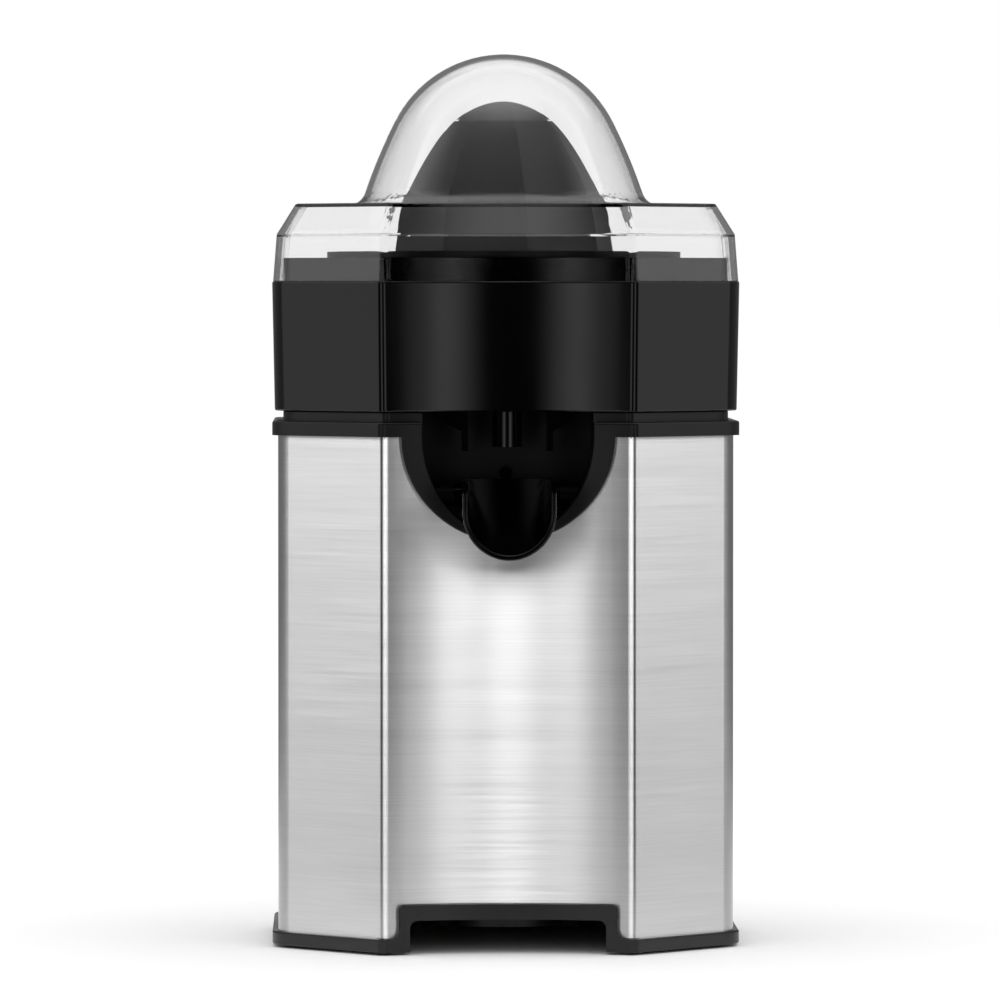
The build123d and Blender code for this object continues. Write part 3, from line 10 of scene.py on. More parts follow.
import bpy
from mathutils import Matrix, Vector


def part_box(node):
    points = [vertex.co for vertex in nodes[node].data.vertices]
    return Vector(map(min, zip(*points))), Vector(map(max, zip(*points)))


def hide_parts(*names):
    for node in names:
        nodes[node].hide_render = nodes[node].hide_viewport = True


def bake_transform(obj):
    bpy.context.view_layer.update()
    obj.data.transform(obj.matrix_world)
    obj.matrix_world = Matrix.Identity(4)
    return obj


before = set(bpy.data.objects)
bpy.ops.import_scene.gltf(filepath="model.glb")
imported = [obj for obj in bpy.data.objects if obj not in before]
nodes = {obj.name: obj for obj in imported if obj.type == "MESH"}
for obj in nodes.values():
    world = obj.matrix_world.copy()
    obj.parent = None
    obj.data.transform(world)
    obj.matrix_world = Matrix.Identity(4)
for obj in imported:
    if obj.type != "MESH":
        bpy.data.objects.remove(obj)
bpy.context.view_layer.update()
scene = bpy.context.scene

# %% [markdown]
# ## Three helpers
# Colours are written as hex codes, the way a paint chart gives them. Blender's shaders work in linear
# light, so one function converts them. A second function adds a node: lower-case names in its settings are
# properties of the node, other names are inputs, and links join an input to another node's output. A third
# makes an empty material to put nodes in.

# %% Colour, node and material helpers
MM = 0.001


def linear(hex_code):
    """Linear colour, with alpha, of an sRGB hex code such as C8C6C2."""
    values = [int(hex_code[place : place + 2], 16) / 255 for place in (0, 2, 4)]
    return [v / 12.92 if v <= 0.04045 else ((v + 0.055) / 1.055) ** 2.4 for v in values] + [1.0]


def add_node(tree, kind, settings=None, links=None):
    """Add one node, set its properties and inputs, and link its inputs."""
    node = tree.nodes.new(kind)
    for name, value in (settings or {}).items():
        if isinstance(name, str) and name[0].islower():
            setattr(node, name, value)
        else:
            node.inputs[name].default_value = value
    for name, source in (links or {}).items():
        tree.links.new(source, node.inputs[name])
    return node


def new_material(name):
    """Empty node material with that name."""
    material = bpy.data.materials.new(name)
    material.use_nodes = True
    material.node_tree.nodes.clear()
    return material, material.node_tree


print("black ABS in linear light:", [round(v, 4) for v in linear("040405")])

# %% [markdown]
# ## Moulded plastics
# The black pieces are injection moulded. The collector and the spout come from a polished mould and shine,
# the bezel and base have a satin face, and the reamer is a tougher, slightly duller plastic. The reamer's
# colour is a lighter grey, partly for its duller plastic and partly as painted light, standing in for light
# that does not reach it under the lid. What tells the eye that it is plastic is a sharp, colourless
# reflection over a dark body, a very faint waviness from shrinkage, and a fine grain where the mould was
# spark-eroded. Image maps could give this, but noise in object space has a real size in millimetres and
# needs no unwrapping, so we use that.

# %% Moulded plastic material
# Nearly all of a noise texture lies between these two levels.
noise_low, noise_high = 0.3, 0.7


def moulded_plastic(name, colour, rough, grain_mm, grain_depth_mm, ior=1.54, handling=0.06):
    """Moulded plastic: slow shrink waves, fine mould grain, and patches dulled by handling."""
    material, tree = new_material(name)
    place = add_node(tree, "ShaderNodeTexCoord").outputs["Object"]
    # Shrink waves are long and a few microns deep, and handling leaves wide dull patches.
    wave_mm, wave_depth_mm, patch_mm = 18, 0.02, 35
    waves = add_node(
        tree, "ShaderNodeTexNoise", {"Scale": 1 / (wave_mm * MM), "Detail": 1.0}, {"Vector": place}
    )
    # The grain is drawn at the size given; real spark-eroded grain is nearer 0.1 mm.
    grain = add_node(
        tree, "ShaderNodeTexNoise", {"Scale": 1 / (grain_mm * MM), "Detail": 3.0}, {"Vector": place}
    )
    patches = add_node(
        tree,
        "ShaderNodeTexNoise",
        {"Scale": 1 / (patch_mm * MM), "Detail": 4.0, "Roughness": 0.6},
        {"Vector": place},
    )
    shine = add_node(
        tree,
        "ShaderNodeMapRange",
        {"From Min": noise_low, "From Max": noise_high, "To Min": rough, "To Max": rough + handling},
        {"Value": patches.outputs["Fac"]},
    )
    # A handled patch is also a quarter lighter.
    handled = [1.25 * v for v in linear(colour)[:3]] + [1.0]
    body = add_node(
        tree,
        "ShaderNodeMix",
        {"data_type": "RGBA", 6: linear(colour), 7: handled},
        {0: patches.outputs["Fac"]},
    )
    wave_bump = add_node(
        tree,
        "ShaderNodeBump",
        {"Strength": 0.25, "Distance": wave_depth_mm * MM},
        {"Height": waves.outputs["Fac"]},
    )
    grain_bump = add_node(
        tree,
        "ShaderNodeBump",
        {"Strength": 0.5, "Distance": grain_depth_mm * MM},
        {"Height": grain.outputs["Fac"], "Normal": wave_bump.outputs["Normal"]},
    )
    shader = add_node(
        tree,
        "ShaderNodeBsdfPrincipled",
        {"IOR": ior},
        {
            "Base Color": body.outputs[2],
            "Roughness": shine.outputs["Result"],
            "Normal": grain_bump.outputs["Normal"],
        },
    )
    add_node(tree, "ShaderNodeOutputMaterial", links={"Surface": shader.outputs["BSDF"]})
    return material


gloss_black_abs = moulded_plastic("gloss_black_abs_polished_mould", "040405", 0.1, 0.6, 0.002, ior=1.5)
satin_black_abs = moulded_plastic("satin_black_abs_moulded", "0B0B0C", 0.34, 0.45, 0.012)
# The reamer's grey is partly its own duller plastic and partly painted light, in place of light that does not
# reach it under the lid.
reamer_grey_with_painted_light = moulded_plastic("grey_polypropylene_with_painted_light", "434344", 0.38, 0.7, 0.008, ior=1.49)
basket_plastic = moulded_plastic("black_polypropylene_dish", "131314", 0.32, 0.7, 0.008, ior=1.49)
gear_acetal = moulded_plastic("natural_acetal_moulded", "E4DFD2", 0.38, 0.8, 0.006, ior=1.48)
case_nylon = moulded_plastic("glass_filled_nylon_moulded", "3A3B3D", 0.5, 0.5, 0.02, ior=1.53)
switch_phenolic = moulded_plastic("red_phenolic_moulded", "5A1C17", 0.42, 0.6, 0.01, ior=1.6)
foot_rubber = moulded_plastic("black_nitrile_rubber_moulded", "151515", 0.62, 0.5, 0.03, ior=1.52)
lead_vinyl = moulded_plastic("grey_vinyl_lead_sleeve", "7C7F84", 0.45, 0.9, 0.01, ior=1.53)
print("plastics made:", len(bpy.data.materials))

# %% [markdown]
# ## Brushed stainless steel
# The sleeve is a sheet of stainless steel, brushed lengthwise before it was wrapped round the tower, so the
# scratches run level all the way round. Scratches scatter light across themselves, which spreads every
# reflection up and down and hardly sideways. The shader's anisotropy does that spreading, and noise squeezed
# into long level lines draws the scratches. Real scratches are about 0.05 mm apart; here the fine ones are
# 0.35 mm apart and the streaks 2.5 mm, because finer lines would vanish in the picture.

# %% Brushed stainless material
steel, tree = new_material("brushed_stainless_sheet")
place = add_node(tree, "ShaderNodeTexCoord").outputs["Object"]
line_length, line_pitch = 45 * MM, 0.35 * MM
streak_length, streak_pitch, streak_share = 160 * MM, 2.5 * MM, 0.22
fine_place = add_node(
    tree,
    "ShaderNodeMapping",
    {"Scale": (1 / line_length, 1 / line_length, 1 / line_pitch)},
    {"Vector": place},
)
fine_lines = add_node(
    tree,
    "ShaderNodeTexNoise",
    {"Scale": 1.0, "Detail": 2.0, "Roughness": 0.6},
    {"Vector": fine_place.outputs[0]},
)
streak_place = add_node(
    tree,
    "ShaderNodeMapping",
    {"Scale": (1 / streak_length, 1 / streak_length, 1 / streak_pitch)},
    {"Vector": place},
)
streaks = add_node(
    tree, "ShaderNodeTexNoise", {"Scale": 1.0, "Detail": 3.0}, {"Vector": streak_place.outputs[0]}
)
line_mix = add_node(
    tree,
    "ShaderNodeMix",
    {"data_type": "FLOAT", 0: streak_share},
    {2: fine_lines.outputs["Fac"], 3: streaks.outputs["Fac"]},
)
tone = add_node(
    tree,
    "ShaderNodeMix",
    {"data_type": "RGBA", 6: linear("B8B8B8"), 7: linear("D4D4D4")},
    {0: line_mix.outputs[0]},
)
shine = add_node(
    tree,
    "ShaderNodeMapRange",
    {"From Min": noise_low, "From Max": noise_high, "To Min": 0.28, "To Max": 0.35},
    {"Value": line_mix.outputs[0]},
)
scratches = add_node(
    tree,
    "ShaderNodeBump",
    {"Strength": 0.06, "Distance": 0.02 * MM},
    {"Height": line_mix.outputs[0]},
)
around = add_node(tree, "ShaderNodeTangent", {"direction_type": "RADIAL", "axis": "Z"})
shader = add_node(
    tree,
    "ShaderNodeBsdfPrincipled",
    {"Metallic": 1.0, "Anisotropic": 0.7, "Anisotropic Rotation": 0.25},
    {
        "Base Color": tone.outputs[2],
        "Roughness": shine.outputs["Result"],
        "Normal": scratches.outputs["Normal"],
        "Tangent": around.outputs["Tangent"],
    },
)
add_node(tree, "ShaderNodeOutputMaterial", links={"Surface": shader.outputs["BSDF"]})
print("steel scratches", line_pitch / MM, "mm apart and", line_length / MM, "mm long")

# %% [markdown]
# ## Clear lid
# The lid is moulded in clear SAN, a stiff water-clear plastic with an index of about 1.57. A true refracting
# shader gives the dark thin outlines at its edges and the bent background in its corners. Refracting shaders
# stop lamps from reaching what is inside, so for shadow rays alone the lid is transparent. A very fine
# waviness and a few dull wipe marks keep it from looking like nothing at all.

# %% Clear SAN material
clear_san, tree = new_material("clear_san_moulded")
place = add_node(tree, "ShaderNodeTexCoord").outputs["Object"]
san_index, flow_mm, wipe_mm = 1.57, 24, 30
flow = add_node(tree, "ShaderNodeTexNoise", {"Scale": 1 / (flow_mm * MM), "Detail": 1.0}, {"Vector": place})
flow_bump = add_node(
    tree, "ShaderNodeBump", {"Strength": 0.08, "Distance": 0.02 * MM}, {"Height": flow.outputs["Fac"]}
)
wipes = add_node(tree, "ShaderNodeTexNoise", {"Scale": 1 / (wipe_mm * MM), "Detail": 5.0}, {"Vector": place})
shine = add_node(
    tree,
    "ShaderNodeMapRange",
    {"From Min": 0.35, "From Max": 0.75, "To Min": 0.0, "To Max": 0.045},
    {"Value": wipes.outputs["Fac"]},
)
shader = add_node(
    tree,
    "ShaderNodeBsdfPrincipled",
    {"Base Color": linear("FEFEFE"), "IOR": san_index, "Transmission Weight": 1.0},
    {"Roughness": shine.outputs["Result"], "Normal": flow_bump.outputs["Normal"]},
)
passing = add_node(tree, "ShaderNodeBsdfTransparent", {"Color": linear("F4F5F5")})
path = add_node(tree, "ShaderNodeLightPath")
both = add_node(
    tree,
    "ShaderNodeMixShader",
    links={0: path.outputs["Is Shadow Ray"], 1: shader.outputs["BSDF"], 2: passing.outputs["BSDF"]},
)
add_node(tree, "ShaderNodeOutputMaterial", links={"Surface": both.outputs["Shader"]})
print("lid index", san_index, "and clear to lamps")

# %% [markdown]
# ## Metals inside
# Brackets, the motor and most screws are not seen from outside, but the part can be opened, so each gets
# the finish that such a piece has: zinc plate, ground steel, sintered bronze, enamelled copper wire, stacked
# steel sheets and black ferrite. The one screw that shows, in the recess behind the spout, is blackened:
# partly a black oxide finish and partly painted shade, so that it is as dark as the shaded recess around it.
# One
# function covers them all: a metal or dull body with a pattern that can be stretched along an axis, because
# turning, grinding, stacking and winding leave lines.

# %% Worked metal materials
def worked_metal(name, dark, light, rough, line_mm, metallic=1.0, relief_mm=0.01):
    """Metal with lines of a given size along x, y and z, in two tones, the lighter one duller."""
    dulling = 0.15
    material, tree = new_material(name)
    place = add_node(tree, "ShaderNodeTexCoord").outputs["Object"]
    scale = tuple(1 / (size * MM) for size in line_mm)
    stretched = add_node(tree, "ShaderNodeMapping", {"Scale": scale}, {"Vector": place})
    lines = add_node(
        tree, "ShaderNodeTexNoise", {"Scale": 1.0, "Detail": 3.0}, {"Vector": stretched.outputs[0]}
    )
    tone = add_node(
        tree,
        "ShaderNodeMix",
        {"data_type": "RGBA", 6: linear(dark), 7: linear(light)},
        {0: lines.outputs["Fac"]},
    )
    shine = add_node(
        tree,
        "ShaderNodeMapRange",
        {"From Min": noise_low, "From Max": noise_high, "To Min": rough, "To Max": rough + dulling},
        {"Value": lines.outputs["Fac"]},
    )
    relief = add_node(
        tree,
        "ShaderNodeBump",
        {"Strength": 0.4, "Distance": relief_mm * MM},
        {"Height": lines.outputs["Fac"]},
    )
    shader = add_node(
        tree,
        "ShaderNodeBsdfPrincipled",
        {"Metallic": metallic},
        {
            "Base Color": tone.outputs[2],
            "Roughness": shine.outputs["Result"],
            "Normal": relief.outputs["Normal"],
        },
    )
    add_node(tree, "ShaderNodeOutputMaterial", links={"Surface": shader.outputs["BSDF"]})
    return material


zinc_plate = worked_metal("zinc_plated_steel", "A9ACAF", "C9CCCF", 0.28, (3, 3, 3))
ground_steel = worked_metal("ground_steel_rod", "A8A8A8", "CFCFCF", 0.18, (8, 8, 0.4))
bronze = worked_metal("sintered_bronze_bush", "7C5A34", "A77E4E", 0.45, (0.5, 0.5, 0.5))
copper_wire = worked_metal("enamelled_copper_winding", "6E3112", "B0612E", 0.3, (0.6, 9, 9), relief_mm=0.15)
sheet_stack = worked_metal("stacked_motor_sheets", "55585C", "8E9296", 0.42, (12, 12, 0.5), relief_mm=0.05)
ferrite = worked_metal("black_ferrite_magnet", "1D1E20", "303236", 0.55, (1, 1, 1), metallic=0.0)
# Near-black, partly as black oxide and partly as painted shade, so the one screw seen in the recess is as
# dark as the shade around it.
screw_oxide_and_painted_shade = worked_metal("blackened_screw_oxide_and_painted_shade", "121213", "1E1E20", 0.4, (2, 2, 2))
spring_wire = worked_metal("drawn_spring_wire", "8F9194", "B9BBBD", 0.25, (1, 1, 1))
print("materials made:", len(bpy.data.materials))

# %% [markdown]
# ## Which piece gets which finish
# A table from finish to pieces is easier to check than code that guesses. Every CAD piece has to be in it
# once, and the cell prints any that is missing.

# %% Give every piece its finish
finishes = (
    (steel, ("steel_sleeve", "seam_strip")),
    (gloss_black_abs, ("juice_collector", "spout")),
    (satin_black_abs, ("top_housing", "base_frame", "spout_pins")),
    (reamer_grey_with_painted_light, ("reamer_cone",)),
    (basket_plastic, ("pulp_basket", "pulp_ring")),
    (clear_san, ("dust_cover",)),
    (foot_rubber, ("rubber_feet", "cord_gland", "shaft_seal")),
    (gear_acetal, ("output_gear", "idler_gear", "motor_pinion", "thrust_cup", "drive_hub", "switch_plunger")),
    (case_nylon, ("gearbox_housing", "gear_plate", "frame_pillars")),
    (switch_phenolic, ("micro_switch",)),
    (lead_vinyl, ("lead_wires",)),
    (
        zinc_plate,
        (
            "deck_screws",
            "base_screws",
            "gearbox_screws",
            "bracket_screws",
            "motor_screws",
            "switch_bracket",
            "motor_bracket",
            "motor_spacers",
            "shaft_clip",
        ),
    ),
    (screw_oxide_and_painted_shade, ("recess_screw",)),
    (ground_steel, ("drive_shaft", "idler_axle", "rotor_shaft")),
    (bronze, ("upper_bush", "lower_bush", "motor_bushes")),
    (copper_wire, ("stator_coils",)),
    (sheet_stack, ("stator_core",)),
    (ferrite, ("rotor_magnet",)),
    (spring_wire, ("return_spring",)),
)
dressed = set()
for finish, names in finishes:
    for name in names:
        piece = nodes[name]
        if not piece.material_slots:
            piece.data.materials.append(finish)
        for slot in piece.material_slots:
            slot.material = finish
        dressed.add(name)
print("dressed:", len(dressed), "left:", sorted(set(nodes) - dressed))

# %% [markdown]
# ## Return spring
# Pressing the reamer pushes a cup down on a small coil spring. A real spring shortens: its foot stays on the
# strap and its top goes down with the cup. The CAD piece is stiff, and here the same coil is wound again as
# a mesh in its place between the two bodies. A tube swept along a helix is all it takes.

# %% Wind the spring
coil_low, coil_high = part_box("return_spring")
wire_radius = 0.6 * MM
coil_radius = (coil_high.x - coil_low.x) / 2 - wire_radius
coil_turns, steps_per_turn, wire_sides = 5, 32, 12
coil_middle = (coil_low + coil_high) / 2
foot, rise = coil_low.z + wire_radius, coil_high.z - coil_low.z - 2 * wire_radius
coil_steps = coil_turns * steps_per_turn
wire_points = []
for step in range(coil_steps + 1):
    turn = 2 * math.pi * step / steps_per_turn
    outward = Vector((math.cos(turn), math.sin(turn), 0.0))
    centre = Vector((coil_middle.x, coil_middle.y, foot + rise * step / coil_steps)) + coil_radius * outward
    for side in range(wire_sides):
        around = 2 * math.pi * side / wire_sides
        offset = wire_radius * (math.cos(around) * outward + math.sin(around) * Vector((0, 0, 1)))
        wire_points.append(centre + offset)
wire_faces = [
    (
        step * wire_sides + side,
        (step + 1) * wire_sides + side,
        (step + 1) * wire_sides + (side + 1) % wire_sides,
        step * wire_sides + (side + 1) % wire_sides,
    )
    for step in range(coil_steps)
    for side in range(wire_sides)
]
last_ring = coil_steps * wire_sides
wire_faces.append(tuple(range(wire_sides)))
wire_faces.append(tuple(last_ring + side for side in reversed(range(wire_sides))))
spring_mesh = bpy.data.meshes.new("wound_spring")
spring_mesh.from_pydata(wire_points, [], wire_faces)
spring_mesh.shade_smooth()
spring_mesh.materials.append(spring_wire)
spring = bpy.data.objects.new("wound_spring", spring_mesh)
scene.collection.objects.link(spring)
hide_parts("return_spring")
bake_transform(spring)
print("spring", round(rise / MM, 1), "mm high, wire", 2 * wire_radius / MM, "mm")

# %% [markdown]
# ## Floor
# The juicer stands on a white table that runs into a white backdrop. The floor is a soft diffuse sheet, and
# for rays that come from the camera, a reflection or through the lid it also glows a little, just enough to
# reach white where no shadow falls. Ambient occlusion measures how open the sky is around each spot and takes
# the glow away close to the juicer, and its shadow darkens the diffuse share as well.

# %% White floor
def looked_at(tree):
    """Socket that is 1 for rays from the camera, from a reflection or through the lid, and else 0."""
    path = add_node(tree, "ShaderNodeLightPath")
    seen = add_node(
        tree,
        "ShaderNodeMath",
        {"operation": "MAXIMUM"},
        {0: path.outputs["Is Camera Ray"], 1: path.outputs["Is Glossy Ray"]},
    )
    seen_through = add_node(
        tree,
        "ShaderNodeMath",
        {"operation": "MAXIMUM"},
        {0: seen.outputs[0], 1: path.outputs["Is Transmission Ray"]},
    )
    return seen_through.outputs[0]


floor_half, fibre_mm = 60.0, 6
floor_lift, open_reach_mm = 0.2, 150
floor_mesh = bpy.data.meshes.new("studio_floor")
floor_corners = [(x * floor_half, y * floor_half, 0.0) for x, y in ((-1, -1), (1, -1), (1, 1), (-1, 1))]
floor_mesh.from_pydata(floor_corners, [], [(0, 1, 2, 3)])
floor = bpy.data.objects.new("studio_floor", floor_mesh)
scene.collection.objects.link(floor)
paper, tree = new_material("matt_white_paper")
place = add_node(tree, "ShaderNodeTexCoord").outputs["Object"]
fibres = add_node(
    tree, "ShaderNodeTexNoise", {"Scale": 1 / (fibre_mm * MM), "Detail": 3.0}, {"Vector": place}
)
pulp = add_node(
    tree,
    "ShaderNodeMix",
    {"data_type": "RGBA", 6: linear("EDEDED"), 7: linear("F2F2F2")},
    {0: fibres.outputs["Fac"]},
)
sheet = add_node(tree, "ShaderNodeBsdfDiffuse", links={"Color": pulp.outputs[2]})
open_sky = add_node(tree, "ShaderNodeAmbientOcclusion", {"samples": 8, "Distance": open_reach_mm * MM})
lift = add_node(tree, "ShaderNodeMapRange", {"To Max": floor_lift}, {"Value": open_sky.outputs["AO"]})
lift_seen = add_node(
    tree,
    "ShaderNodeMath",
    {"operation": "MULTIPLY"},
    {0: lift.outputs["Result"], 1: looked_at(tree)},
)
glow = add_node(tree, "ShaderNodeEmission", {"Color": linear("FFFFFF")}, {"Strength": lift_seen.outputs[0]})
total = add_node(
    tree, "ShaderNodeAddShader", links={0: sheet.outputs["BSDF"], 1: glow.outputs["Emission"]}
)
add_node(tree, "ShaderNodeOutputMaterial", links={"Surface": total.outputs["Shader"]})
floor_mesh.materials.append(paper)
print("floor", 2 * floor_half, "m square, its glow", floor_lift)

# %% [markdown]
# ## White room
# The backdrop is the world itself, which lights the juicer evenly from all sides without a single lamp. Seen
# by the camera, in a reflection or through the lid it is pure white. What it sheds on the juicer is a little
# less, because a lamp in a later cell adds to it, so that colours render about as they are written.

# %% White world
world = bpy.data.worlds.new("white_studio")
scene.world = world
world.use_nodes = True
tree = world.node_tree
tree.nodes.clear()
world_fill = 0.95
level = add_node(
    tree, "ShaderNodeMapRange", {"To Min": world_fill, "To Max": 1.0}, {"Value": looked_at(tree)}
)
sky = add_node(tree, "ShaderNodeBackground", {"Color": linear("FFFFFF")}, {"Strength": level.outputs[0]})
add_node(tree, "ShaderNodeOutputWorld", links={"Surface": sky.outputs["Background"]})
print("fill light", world_fill)

# %% [markdown]
# ## Cards that shape the reflections
# In a white room a shiny black bowl would look evenly grey. Photographers stand cards round the object that
# fade from black to white, and the fades are what the eye reads as soft bands. In front lies a card that is
# pale at about 23 degrees to each side, which draws two bands on the bowl. Above it hangs a canopy, black in
# the middle and white towards its edges, grey cards stand at both sides, and dark ones behind give the steel
# and the lid their dark edges. The cards cast no shade, and only light that has been reflected meets them, so
# that from any side the clear lid shows the white room behind it.

# %% Card material
# The drive axis stands this far behind the origin of the frame, in metres.
axis_y = 0.00975
highest_card, full_circle = 4.0, 360


def fill_ramp(ramp, stops, full):
    """Set a colour ramp from pairs of a position, out of the full range, and a grey level."""
    ramp.interpolation = "EASE"
    ramp.elements.remove(ramp.elements[1])
    for index, (position, level) in enumerate(stops):
        stop = ramp.elements[0] if index == 0 else ramp.elements.new(position / full)
        stop.position = position / full
        stop.color = (level, level, level, 1.0)


def card_material(name, bearing_stops, height_stops):
    """Glowing card, its level set by the bearing from the front in degrees and the height in metres."""
    material, tree = new_material(name)
    place = add_node(tree, "ShaderNodeTexCoord").outputs["Object"]
    # The radial gradient counts full turns, and the front lies at a quarter of one.
    front_turn = 0.25
    turn = add_node(tree, "ShaderNodeTexGradient", {"gradient_type": "RADIAL"}, {"Vector": place})
    offset = add_node(
        tree, "ShaderNodeMath", {"operation": "SUBTRACT", 1: front_turn}, {0: turn.outputs["Fac"]}
    )
    bearing = add_node(tree, "ShaderNodeMath", {"operation": "ABSOLUTE"}, {0: offset.outputs[0]})
    across = add_node(tree, "ShaderNodeValToRGB", links={"Fac": bearing.outputs[0]})
    fill_ramp(across.color_ramp, bearing_stops, full_circle)
    parts = add_node(tree, "ShaderNodeSeparateXYZ", links={"Vector": place})
    height = add_node(
        tree, "ShaderNodeMath", {"operation": "DIVIDE", 1: highest_card}, {0: parts.outputs["Z"]}
    )
    upwards = add_node(tree, "ShaderNodeValToRGB", links={"Fac": height.outputs[0]})
    fill_ramp(upwards.color_ramp, height_stops, highest_card)
    level = add_node(
        tree,
        "ShaderNodeMath",
        {"operation": "MAXIMUM"},
        {0: across.outputs["Color"], 1: upwards.outputs["Color"]},
    )
    glow = add_node(tree, "ShaderNodeEmission", {"Color": linear("FFFFFF")}, {"Strength": level.outputs[0]})
    # Glossy Depth counts how often a ray has been reflected on its way here.
    path = add_node(tree, "ShaderNodeLightPath")
    reflected = add_node(
        tree, "ShaderNodeMath", {"operation": "GREATER_THAN", 1: 0.5}, {0: path.outputs["Glossy Depth"]}
    )
    clear = add_node(tree, "ShaderNodeBsdfTransparent", {"Color": linear("FFFFFF")})
    either = add_node(
        tree,
        "ShaderNodeMixShader",
        links={0: reflected.outputs[0], 1: clear.outputs["BSDF"], 2: glow.outputs["Emission"]},
    )
    add_node(tree, "ShaderNodeOutputMaterial", links={"Surface": either.outputs["Shader"]})
    return material


level_black = ((0, 0.0),)
front_fade = card_material(
    "front_light_card", ((7, 0.0), (23, 1.0), (32, 0.42), (42, 0.0), (64, 0.0), (70, 0.4)), level_black
)
canopy_fade = card_material("canopy_card", ((55, 0.0), (95, 0.85)), ((3.3, 0.0), (3.95, 1.0)))
side_grey = card_material("side_card", ((0, 0.64),), level_black)
rear_fade = card_material("rear_card", ((0, 0.18),), ((1.2, 0.0), (2.9, 0.9)))
print("card materials made")

# %% [markdown]
# Each card is a sheet bent round the juicer between two bearings. Its profile is a list of distances from
# the axis and heights, so one function makes lying, standing and overhanging cards.

# %% Stand the cards
def stand_card(name, material, start, end, profile):
    """Card between two bearings from the front, along a profile of distances and heights."""
    steps = 12
    bearings = [math.radians(start + (end - start) * step / steps) for step in range(steps + 1)]
    points = [
        (reach * math.sin(b), -reach * math.cos(b), height) for reach, height in profile for b in bearings
    ]
    width = steps + 1
    faces = [
        (row * width + s, row * width + s + 1, (row + 1) * width + s + 1, (row + 1) * width + s)
        for row in range(len(profile) - 1)
        for s in range(steps)
    ]
    mesh = bpy.data.meshes.new(name)
    mesh.from_pydata(points, [], faces)
    mesh.materials.append(material)
    card = bpy.data.objects.new(name, mesh)
    card.location.y = axis_y
    scene.collection.objects.link(card)
    for kind in ("camera", "diffuse", "volume_scatter", "shadow"):
        setattr(card, "visible_" + kind, False)


# Bearings in degrees, then distances and heights in metres.
front_end, canopy_end, side_end, rear_end = 70, 90, 97, 171
floor_gap = 2 * MM
near, far, rear_near, rear_far = 0.2, 3.3, 0.6, 2.6
front_edge, side_edge = 0.45, 0.9
front_profile = ((near, floor_gap), (far, floor_gap), (far, front_edge))
side_profile = ((near, floor_gap), (far, floor_gap), (far, side_edge))
canopy_profile = ((far, side_edge), (far, 2.6), (2.2, 3.6), (1.4, 3.8), (0.6, highest_card))
rear_overhang = ((rear_far, 2.2), (1.3, 2.9))
rear_profile = ((rear_near, floor_gap), (rear_far, floor_gap)) + rear_overhang
stand_card("card_front", front_fade, -front_end, front_end, front_profile)
stand_card("card_canopy", canopy_fade, -canopy_end, canopy_end, canopy_profile)
stand_card("card_canopy_low", canopy_fade, -front_end, front_end, ((far, front_edge), (far, side_edge)))
stand_card("card_rear_top", rear_fade, rear_end, full_circle - rear_end, ((rear_far, 0.6),) + rear_overhang)
for side, hand in ((-1, "left"), (1, "right")):
    stand_card("card_side_" + hand, side_grey, side * front_end, side * side_end, side_profile)
    stand_card("card_rear_" + hand, rear_fade, side * side_end, side * rear_end, rear_profile)

# %% [markdown]
# ## Lamps
# A large softbox hangs over the juicer and gives the floor its soft shadow. It is kept out of reflections and
# of the clear lid, where it would be a hard white patch. The steel has lamps of its own, because brushed
# metal turns a lamp into a wide bright stripe. A row of five stands in front, higher than the camera and
# brightest in the middle, so that the stripe down the hollow front fades to both sides. One more at each side
# is for the facets. Light linking keeps these off everything else, and only the steel can block the row.

# %% Softboxes
def softbox(name, place, target, width, height, watts):
    """Rectangular area lamp at a place, turned towards a target."""
    lamp = bpy.data.lights.new(name, "AREA")
    lamp.shape = "RECTANGLE"
    lamp.size = width
    lamp.size_y = height
    lamp.energy = watts
    box = bpy.data.objects.new(name, lamp)
    box.location = place
    box.rotation_euler = (Vector(target) - Vector(place)).to_track_quat("-Z", "Y").to_euler()
    scene.collection.objects.link(box)
    return box


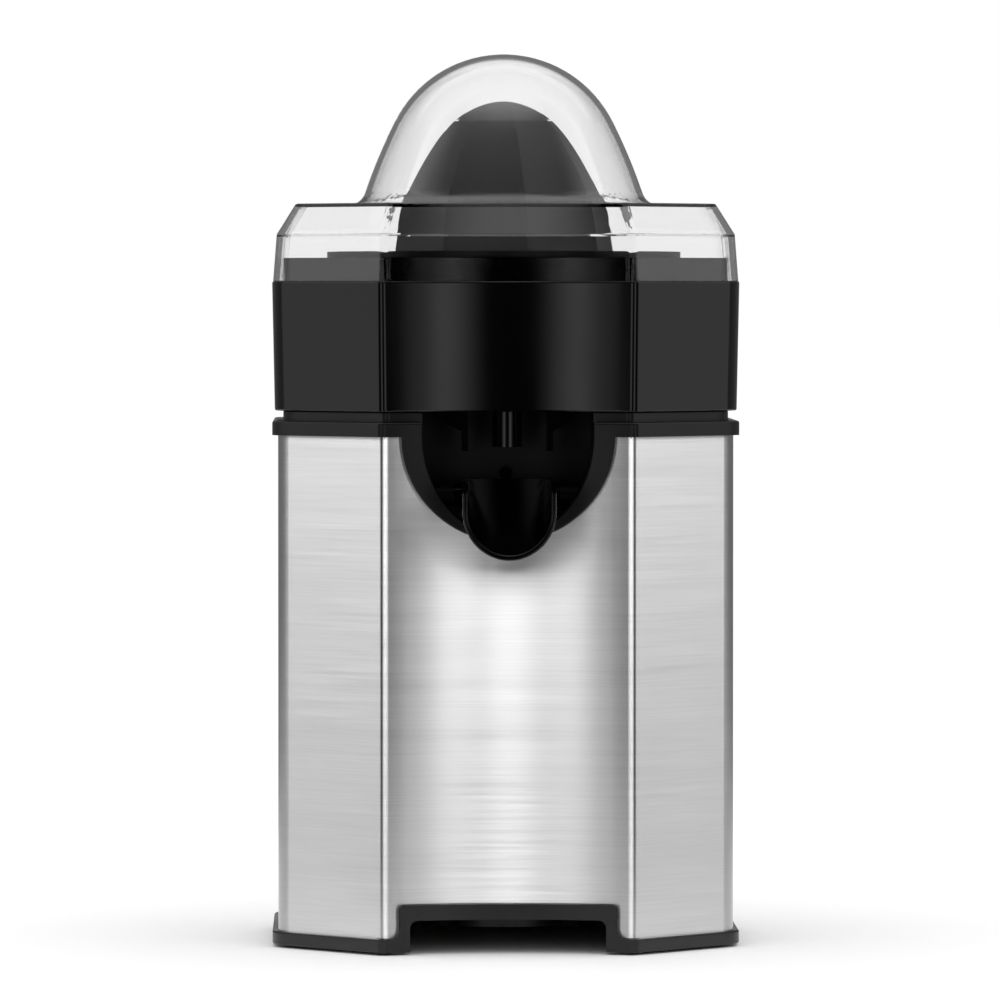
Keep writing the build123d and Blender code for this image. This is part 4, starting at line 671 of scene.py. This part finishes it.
lamp_target = (0.0, axis_y, 0.1)
overhead_place = (0.0, -0.4, 2.3)
overhead = softbox("overhead_softbox", overhead_place, lamp_target, width=2.2, height=2.0, watts=5)
overhead.visible_glossy = False
overhead.visible_transmission = False
steel_only = bpy.data.collections.new("lit_by_steel_softboxes")
steel_only.objects.link(nodes["steel_sleeve"])
lamp_height, row_reach, row_step, facet_reach = 1.0, 2.1, 18, 2.2
row_width = 2 * row_reach * math.tan(math.radians(row_step / 2))
row_bearings_and_watts = ((-36, 2.2), (-18, 12), (0, 21.5), (18, 13.5), (36, 4.2))
for bearing, watts in row_bearings_and_watts:
    turn = math.radians(bearing)
    place = (row_reach * math.sin(turn), axis_y - row_reach * math.cos(turn), lamp_height)
    name = "steel_softbox_" + str(bearing)
    front_light = softbox(name, place, lamp_target, width=row_width, height=1.2, watts=watts)
    front_light.light_linking.receiver_collection = steel_only
    front_light.light_linking.blocker_collection = steel_only
for side, hand in ((-1, "left"), (1, "right")):
    place = (side * facet_reach, axis_y, lamp_height)
    facet_light = softbox("facet_softbox_" + hand, place, lamp_target, width=0.9, height=0.9, watts=14)
    facet_light.light_linking.receiver_collection = steel_only
print("lamps:", len(bpy.data.lights))

# %% [markdown]
# ## Camera
# The photograph was taken from three metres away with a long lens, nearly level, a touch left of the middle.
# The long lens keeps the top and bottom edges of the tower almost parallel.

# %% Long lens camera
distance, eye_height = 3.088, 0.2531
bearing = math.radians(1.147)
down_tilt_degrees, aside_degrees = 1.533, 0.0265
camera_data = bpy.data.cameras.new("long_lens")
camera_data.sensor_width = 36.0
camera_data.lens = 285.4
camera_data.clip_end = 50.0
camera = bpy.data.objects.new("long_lens", camera_data)
camera.location = (-distance * math.sin(bearing), axis_y - distance * math.cos(bearing), eye_height)
camera.rotation_euler = (math.radians(90 - down_tilt_degrees), 0.0, math.radians(aside_degrees) - bearing)
scene.collection.objects.link(camera)
scene.camera = camera
scene.view_settings.view_transform = "Standard"
print("camera", round(distance, 2), "m away, lens", camera_data.lens, "mm")
